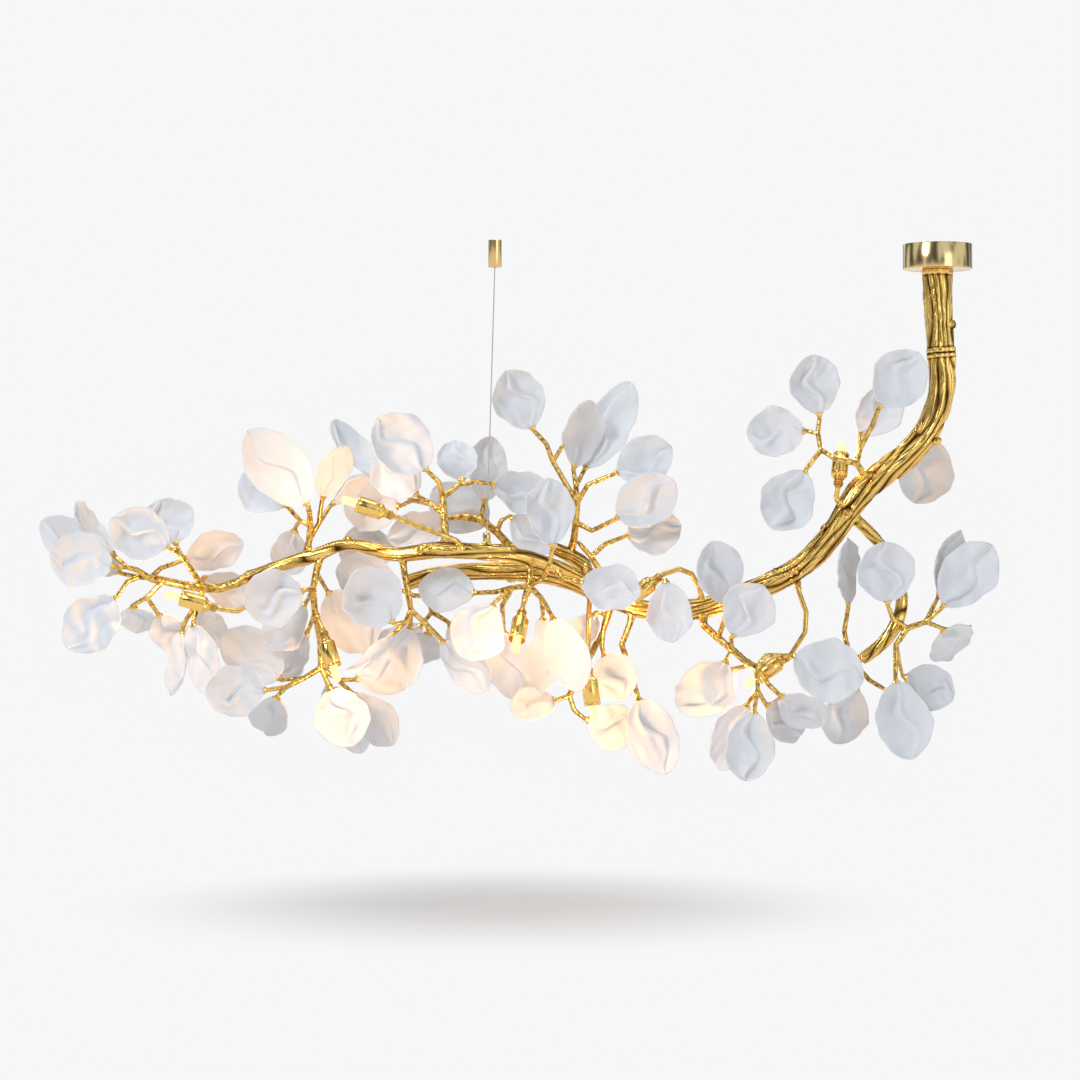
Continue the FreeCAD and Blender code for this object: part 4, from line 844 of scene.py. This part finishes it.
@dataclass
class Lamps:
    """Arms, sleeves, ceramic holders and glowing capsules."""

    brass: bpy.types.Material
    ceramic: bpy.types.Material
    glass: bpy.types.Material
    sleeve_r: float = 13.3
    neck: float = 20.0
    body: float = 40.0
    seat: float = 4.0
    holder_h: float = 20.0
    capsule_in: float = 9.5
    arm_voxel: float = 1.0 * MM
    arm_rounds: int = 9
    arm_swell: float = 0.35
    watts: float = 0.85
    glow_r: float = 0.012
    glow_out: float = 20.0
    light: tuple = (1.0, 0.56, 0.22)

    def sleeve(self, shells: Shells, foot: np.ndarray, axis: np.ndarray) -> None:
        """Turned sleeve: beaded neck, rounded shoulder, straight wall, rolled rim and the bore behind it."""
        r, top = self.sleeve_r, self.neck + self.body
        profile = [(0.2, 5.0), (0.4, 6.6), (3, 6.9), (3.4, 7.9), (5.4, 7.9), (5.8, 6.7), (13, 7.0), (13.4, 8.4),
                   (16, 8.4), (16.5, 8.8), (18.2, 11.6), (20.2, 12.9), (22, r - 0.1), (24, r - 0.5), (25, r - 0.1),
                   (top - 5, r - 0.2), (top - 4.4, r - 0.6), (top - 3.6, r - 0.1), (top - 0.8, r), (top, r - 0.4),
                   (top, r - 1.2), (top - 1, r - 1.6), (self.neck + 4.2, r - 1.6)]
        # painted shade: the neck, the flanks of the bead and the bore inside the rim are marked darker
        shade = [0.4] * 3 + [0.7, 0.1, 0.7] + [0.2] * 2 + [0.1] * 4 + [0.0] * 8 + [0.1, 0.5, 0.9]
        shells.lathe(foot, axis, profile, 40, shade)

    def holder(self, shells: Shells, foot: np.ndarray, axis: np.ndarray) -> None:
        """Steatite holder: a disc with a chamfered edge and a sunk middle."""
        low = self.neck + 4.3
        profile = [(low, 9.8), (low + 18.8, 9.9), (low + 19.8, 9.2), (low + 19.8, 7.4), (low + 18.2, 7.0)]
        shells.lathe(foot, axis, profile, 32)

    def capsule(self, foot: np.ndarray, axis: np.ndarray) -> Shells:
        """Glass capsule: pinched foot, straight wall, domed end and a small tip."""
        shells = Shells()
        low = self.neck + self.seat + self.holder_h - self.capsule_in
        start = low + 11.0
        profile = [(low, 2.2), (low + 0.4, 2.6), (start, 2.7), (start + 1.0, 5.2), (start + 2.6, 6.3),
                   (start + 5, 6.6), (start + 33, 6.6), (start + 36.5, 6.1), (start + 38.8, 4.6), (start + 40, 2.6),
                   (start + 40.6, 1.4), (start + 41.2, 0.8)]
        mark = [1.0, 1.0, 1.0, 0.9, 0.8, 0.6, 0.1, 0.2, 0.4, 0.5, 0.6, 0.7]
        shells.lathe(foot, axis, profile, 28, mark)
        return shells

    def arms(self) -> None:
        """Smooth tubes with soft nuts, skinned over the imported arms."""
        held, _, _, _ = skinned("arms", ("lamp_arms",), self.arm_voxel, self.arm_rounds)
        points, normals, quads = mesh_arrays(held)
        points = points + normals * self.arm_swell * MM
        shade = np.clip(0.22 + 0.2 * ripple(points, 0.02, 41), 0, 1)
        obj = make_mesh("lamp_feeds", points, quads.tolist(), shade, 180.0)
        dress(obj, self.brass, ("lamp_arms",))

    def build(self) -> None:
        """Makes the fixed pieces, one capsule per lamp body and a small warm light in each."""
        sleeves, holders = Shells(), Shells()
        for name, (start, mouth) in LAMPS.items():
            foot, end = place(start), place(mouth)
            axis = unit(end - foot)
            self.sleeve(sleeves, foot, axis)
            self.holder(holders, foot, axis)
            self.capsule(foot, axis).piece("capsule_" + name, self.glass, ("bulb_" + name,), "lamp_" + name)
            light = bpy.data.lights.new("warm_" + name, "POINT")
            light.energy = self.watts
            light.color = self.light
            light.shadow_soft_size = self.glow_r
            lamp = bpy.data.objects.new("warm_" + name, light)
            lamp.location = foot + axis * (self.neck + self.body + self.glow_out) * MM
            bpy.context.scene.collection.objects.link(lamp)
        sleeves.piece("sleeves", self.brass, ("lamp_sleeves",), sharp=40.0)
        holders.piece("steatite_holders", self.ceramic, ("lampholders",), sharp=40.0)
        self.arms()


@dataclass
class Ceiling:
    """Canopy with its grub screws, and the wire's ceiling cup, wire and gripper."""

    brass: bpy.types.Material
    steel: bpy.types.Material
    wire: bpy.types.Material
    canopy_r: float = 55.0
    canopy_h: float = 40.0
    wire_x: float = -707.0
    wire_y: float = -70.0
    wire_foot_x: float = -720.0
    wire_r: float = 0.9
    cup_h: float = 43.0
    up: tuple = (0.0, 0.0, 1.0)

    def ring(self, name: str, node: str, centre: np.ndarray, profile: list, sides: int) -> None:
        """Sweeps a closed profile round and joins the doubled ring where it meets itself."""
        shells = Shells()
        shells.lathe(centre, np.array(self.up), profile + profile[:1], sides)
        shells.faces = shells.faces[:-2]
        obj = shells.piece(name, self.brass, (node,), sharp=35.0)
        work = bmesh.new()
        work.from_mesh(obj.data)
        bmesh.ops.remove_doubles(work, verts=work.verts, dist=1e-6)
        bmesh.ops.recalc_face_normals(work, faces=work.faces)
        work.to_mesh(obj.data)
        work.free()

    def canopy(self) -> None:
        """Spun cup: rolled top edge, straight wall, small corner radius, flat underside and a collar seat."""
        r, h = self.canopy_r - 0.05, self.canopy_h
        profile = [(-h + 1.6, 8.2), (-h, 8.2), (-h, 26), (-h, r - 1.4), (-h + 0.2, r - 0.6), (-h + 0.7, r - 0.15),
                   (-h + 1.5, r), (-0.5, r), (-0.1, r - 0.25), (0, r - 0.6), (0, r - 1.3), (-1, r - 1.5),
                   (-h + 1.6, r - 1.5)]
        self.ring("ceiling_canopy", "canopy", np.zeros(3), profile, 128)

    def cup(self) -> None:
        """Wire cup: a turned tube, closed below but for the wire's hole."""
        h = self.cup_h
        profile = [(-h, 1.2), (-h, 9.6), (-h + 0.3, 10.2), (-h + 0.9, 10.45), (-0.3, 10.45), (0, 10.2), (0, 9.3),
                   (-h + 1.4, 9.15), (-h + 1.4, 1.2)]
        self.ring("wire_cover", "wire_cup", np.array([self.wire_x, self.wire_y, 0.0]) * MM, profile, 64)

    def gripper(self) -> None:
        """Turned gripper with a groove and a domed top."""
        low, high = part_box("wire_gripper")
        middle = (np.array(low) + np.array(high)) / 2
        foot = np.array([middle[0], middle[1], low[2]])
        profile = [(0, 5.9), (0.4, 6.2), (4.5, 6.2), (4.9, 5.5), (5.6, 5.5), (6, 6.2), (12, 6.2), (13.6, 5.4),
                   (14.7, 3.6), (15, 2.0)]
        shells = Shells()
        # painted shade: the groove and the top of the dome are marked darker, though the satin brass does not read
        # these marks
        shade = [0.2, 0, 0, 0.8, 0.8, 0, 0, 0.1, 0.2, 0.6]
        shells.lathe(foot, np.array(self.up), profile, 40, shade)
        shells.piece("gripper", self.brass, ("wire_gripper",), sharp=40.0)

    def line(self) -> None:
        """The taut wire, straight from the ferrule to the gripper."""
        low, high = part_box("suspension_wire")
        top = (self.wire_x * MM, self.wire_y * MM, high[2])
        foot = (self.wire_foot_x * MM, self.wire_y * MM, low[2])
        curve = bpy.data.curves.new("hanging_wire", "CURVE")
        curve.dimensions = "3D"
        spline = curve.splines.new("NURBS")
        spline.points.add(1)
        spline.points[0].co = (*top, 1.0)
        spline.points[1].co = (*foot, 1.0)
        spline.order_u = 3
        spline.use_endpoint_u = True
        curve.bevel_depth = self.wire_r * MM
        curve.bevel_resolution = 4
        curve.use_fill_caps = True
        obj = bpy.data.objects.new("hanging_wire", curve)
        bpy.context.scene.collection.objects.link(obj)
        curve.materials.append(self.wire)
        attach(obj, BODY)
        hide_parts("suspension_wire")

    def build(self) -> None:
        """Makes the turned pieces and dresses the plain nodes."""
        self.canopy()
        self.cup()
        self.gripper()
        self.line()
        recolour(("ceiling_bracket", "canopy_side_screws", "lock_nut", "stem_nipple"), self.steel)
        recolour(("wire_base", "wire_ferrule"), self.brass)


@dataclass
class Studio:
    """Camera, plain soft light, white backdrop and a floor that takes the shadow, darkened under the object by a
    painted shadow.
    """

    distance: float = 4.8
    eye_x: float = -0.636
    eye_z: float = -0.4728
    lens: float = 100.0
    aim: tuple = (-0.65, 0.0, -0.45)
    floor_z: float = -1.057
    white: tuple = (0.93, 0.93, 0.935, 1.0)
    cool: tuple = (0.80, 0.90, 1.0, 1.0)
    ambient: float = 0.34
    card: float = 0.06
    card_stretch: tuple = (1.9, 1.9, 0.75)
    card_scale: float = 1.6
    card_edge: tuple = (0.45, 0.62)
    # painted shadow under the object: tone of its matt share, largest share, spread and middle
    floor_tone: float = 0.42
    shadow: float = 0.5
    spread: tuple = (0.68, 0.62)
    middle_x: float = -0.70
    floor_half: float = 30.0

    def camera(self) -> None:
        """Level view along +Y from in front of the bough's middle."""
        data = bpy.data.cameras.new("view")
        data.lens = self.lens
        data.sensor_width = 36.0
        data.clip_end = 60.0
        obj = bpy.data.objects.new("view", data)
        obj.location = (self.eye_x, -self.distance, self.eye_z)
        obj.rotation_euler = (math.radians(90), 0, 0)
        bpy.context.scene.collection.objects.link(obj)
        bpy.context.scene.camera = obj

    def lamp(self, name: str, spot: tuple, aim: tuple, size: tuple, watts: float, color: tuple) -> None:
        """One soft rectangular light."""
        data = bpy.data.lights.new(name, "AREA")
        data.shape = "RECTANGLE"
        data.size, data.size_y = size
        data.energy = watts
        data.color = color
        obj = bpy.data.objects.new(name, data)
        obj.location = spot
        away = unit(np.array(spot) - np.array(aim))
        side = unit(np.cross([0.0, 0.0, 1.0], away)) if abs(away[2]) < 0.99 else np.array([1.0, 0.0, 0.0])
        turn = np.stack([side, np.cross(away, side), away], 1)
        matrix = np.eye(4)
        matrix[:3, :3] = turn
        matrix[:3, 3] = spot
        obj.matrix_world = Matrix(matrix.tolist())
        bpy.context.scene.collection.objects.link(obj)

    def world(self) -> None:
        """White for what the camera and glass see, and a plain level for light on the object.

        Metal sees the same white between softly edged dark cards, as in a studio.
        """
        world = bpy.data.worlds.new("backdrop")
        bpy.context.scene.world = world
        world.use_nodes = True
        kit = Finish("backdrop", world.node_tree)
        ray = {kind: kit.node("ShaderNodeLightPath", output=f"Is {kind} Ray")
               for kind in ("Camera", "Transmission", "Glossy")}
        seen = ray["Camera"].math("MAXIMUM", ray["Transmission"])
        way = kit.node("ShaderNodeTexCoord", output="Generated")
        upright = kit.node("ShaderNodeMapping", None, {"Vector": way, "Scale": self.card_stretch})
        low, high = self.card_edge
        cards = kit.node("ShaderNodeMapRange", {"interpolation_type": "SMOOTHSTEP"},
                         {"Value": kit.noise(self.card_scale, 0.0, upright), "From Min": low, "From Max": high,
                          "To Min": self.card, "To Max": 1.0}, "Result")
        level = kit.node("ShaderNodeMix", None, {"Factor": ray["Glossy"], "A": self.ambient, "B": cards}, "Result")
        back = kit.node("ShaderNodeBackground", None, {"Color": kit.mix(seen, self.cool, self.white),
                                                       "Strength": level.math("MAXIMUM", seen)})
        kit.node("ShaderNodeOutputWorld", None, {"Surface": back})

    def floor(self) -> None:
        """Wide pale plane: matt under the object, fading outwards into the backdrop's own white. The darker matt
        patch under the object is a painted shadow, with the real cast shadow on its matt share.
        """
        kit = Finish("floor")
        at = kit.node("ShaderNodeMapping", {"vector_type": "TEXTURE"},
                      {"Vector": kit.place(), "Location": (self.middle_x, 0.0, 0.0), "Scale": (*self.spread, 1.0)})
        far = kit.node("ShaderNodeVectorMath", {"operation": "LENGTH"}, {0: at}, "Value")
        # painted shadow: the share of the dark matt grows towards the middle under the object
        fade = kit.node("ShaderNodeMapRange", {"interpolation_type": "SMOOTHSTEP"},
                        {"Value": far, "From Min": 0.1, "From Max": 1.0, "To Min": self.shadow, "To Max": 0.0})
        matt = kit.node("ShaderNodeBsdfDiffuse", None, {"Color": (self.floor_tone,) * 3 + (1.0,)})
        glow = kit.node("ShaderNodeEmission", None, {"Color": self.white, "Strength": 1.0})
        material = kit.finish(kit.node("ShaderNodeMixShader", None, {0: fade, 1: glow, 2: matt}))
        size = self.floor_half
        points = np.array([[-size, -size, 0], [size, -size, 0], [size, size, 0], [-size, size, 0]], float)
        obj = make_mesh("floor", points, [[0, 1, 2, 3]], np.zeros(4), 180.0)
        obj.location.z = self.floor_z
        obj.data.materials.append(material)

    def build(self) -> None:
        """Sets the view, the light and the stage."""
        self.camera()
        self.world()
        self.floor()
        cool = self.cool[:3]
        self.lamp("key", (-3.0, -2.6, 1.7), self.aim, (1.2, 1.2), 74.0, cool)
        self.lamp("fill", (1.8, -3.4, 0.1), self.aim, (1.6, 2.0), 15.0, cool)
        self.lamp("top", (-0.70, 0.0, 1.9), (-0.70, 0.0, 0.0), (1.7, 1.2), 20.0, (1.0, 1.0, 1.0))
        bpy.context.scene.view_settings.view_transform = "Standard"


def main() -> None:
    """Builds the stage and every sub-assembly in order."""
    logging.basicConfig(level=logging.INFO)
    Studio().build()
    cast = CastBrass().make()
    satin = TurnedBrass().make()
    steel = Plain("zinc_steel", (0.62, 0.62, 0.64, 1.0), (0.5, 0.5, 0.52, 1.0), 1.0, 0.35).make()
    ceramic = Plain("lampholder", (0.86, 0.85, 0.81, 1.0), (0.78, 0.77, 0.73, 1.0), 0.0, 0.45).make()
    moulded = Plain("terminal", (0.82, 0.82, 0.80, 1.0), (0.74, 0.74, 0.72, 1.0), 0.0, 0.4).make()
    wire = Plain("wire_steel", (0.74, 0.73, 0.72, 1.0), (0.42, 0.41, 0.40, 1.0), 1.0, 0.3, 900.0).make()
    Ceiling(satin, steel, wire).build()
    recolour(("terminal_block",), moulded)
    Lamps(cast, ceramic, LampGlow().make()).build()
    Blossom(Bisque().make(), cast).build()
    Boughs(cast).build()


if __name__ == "__main__":
    main()
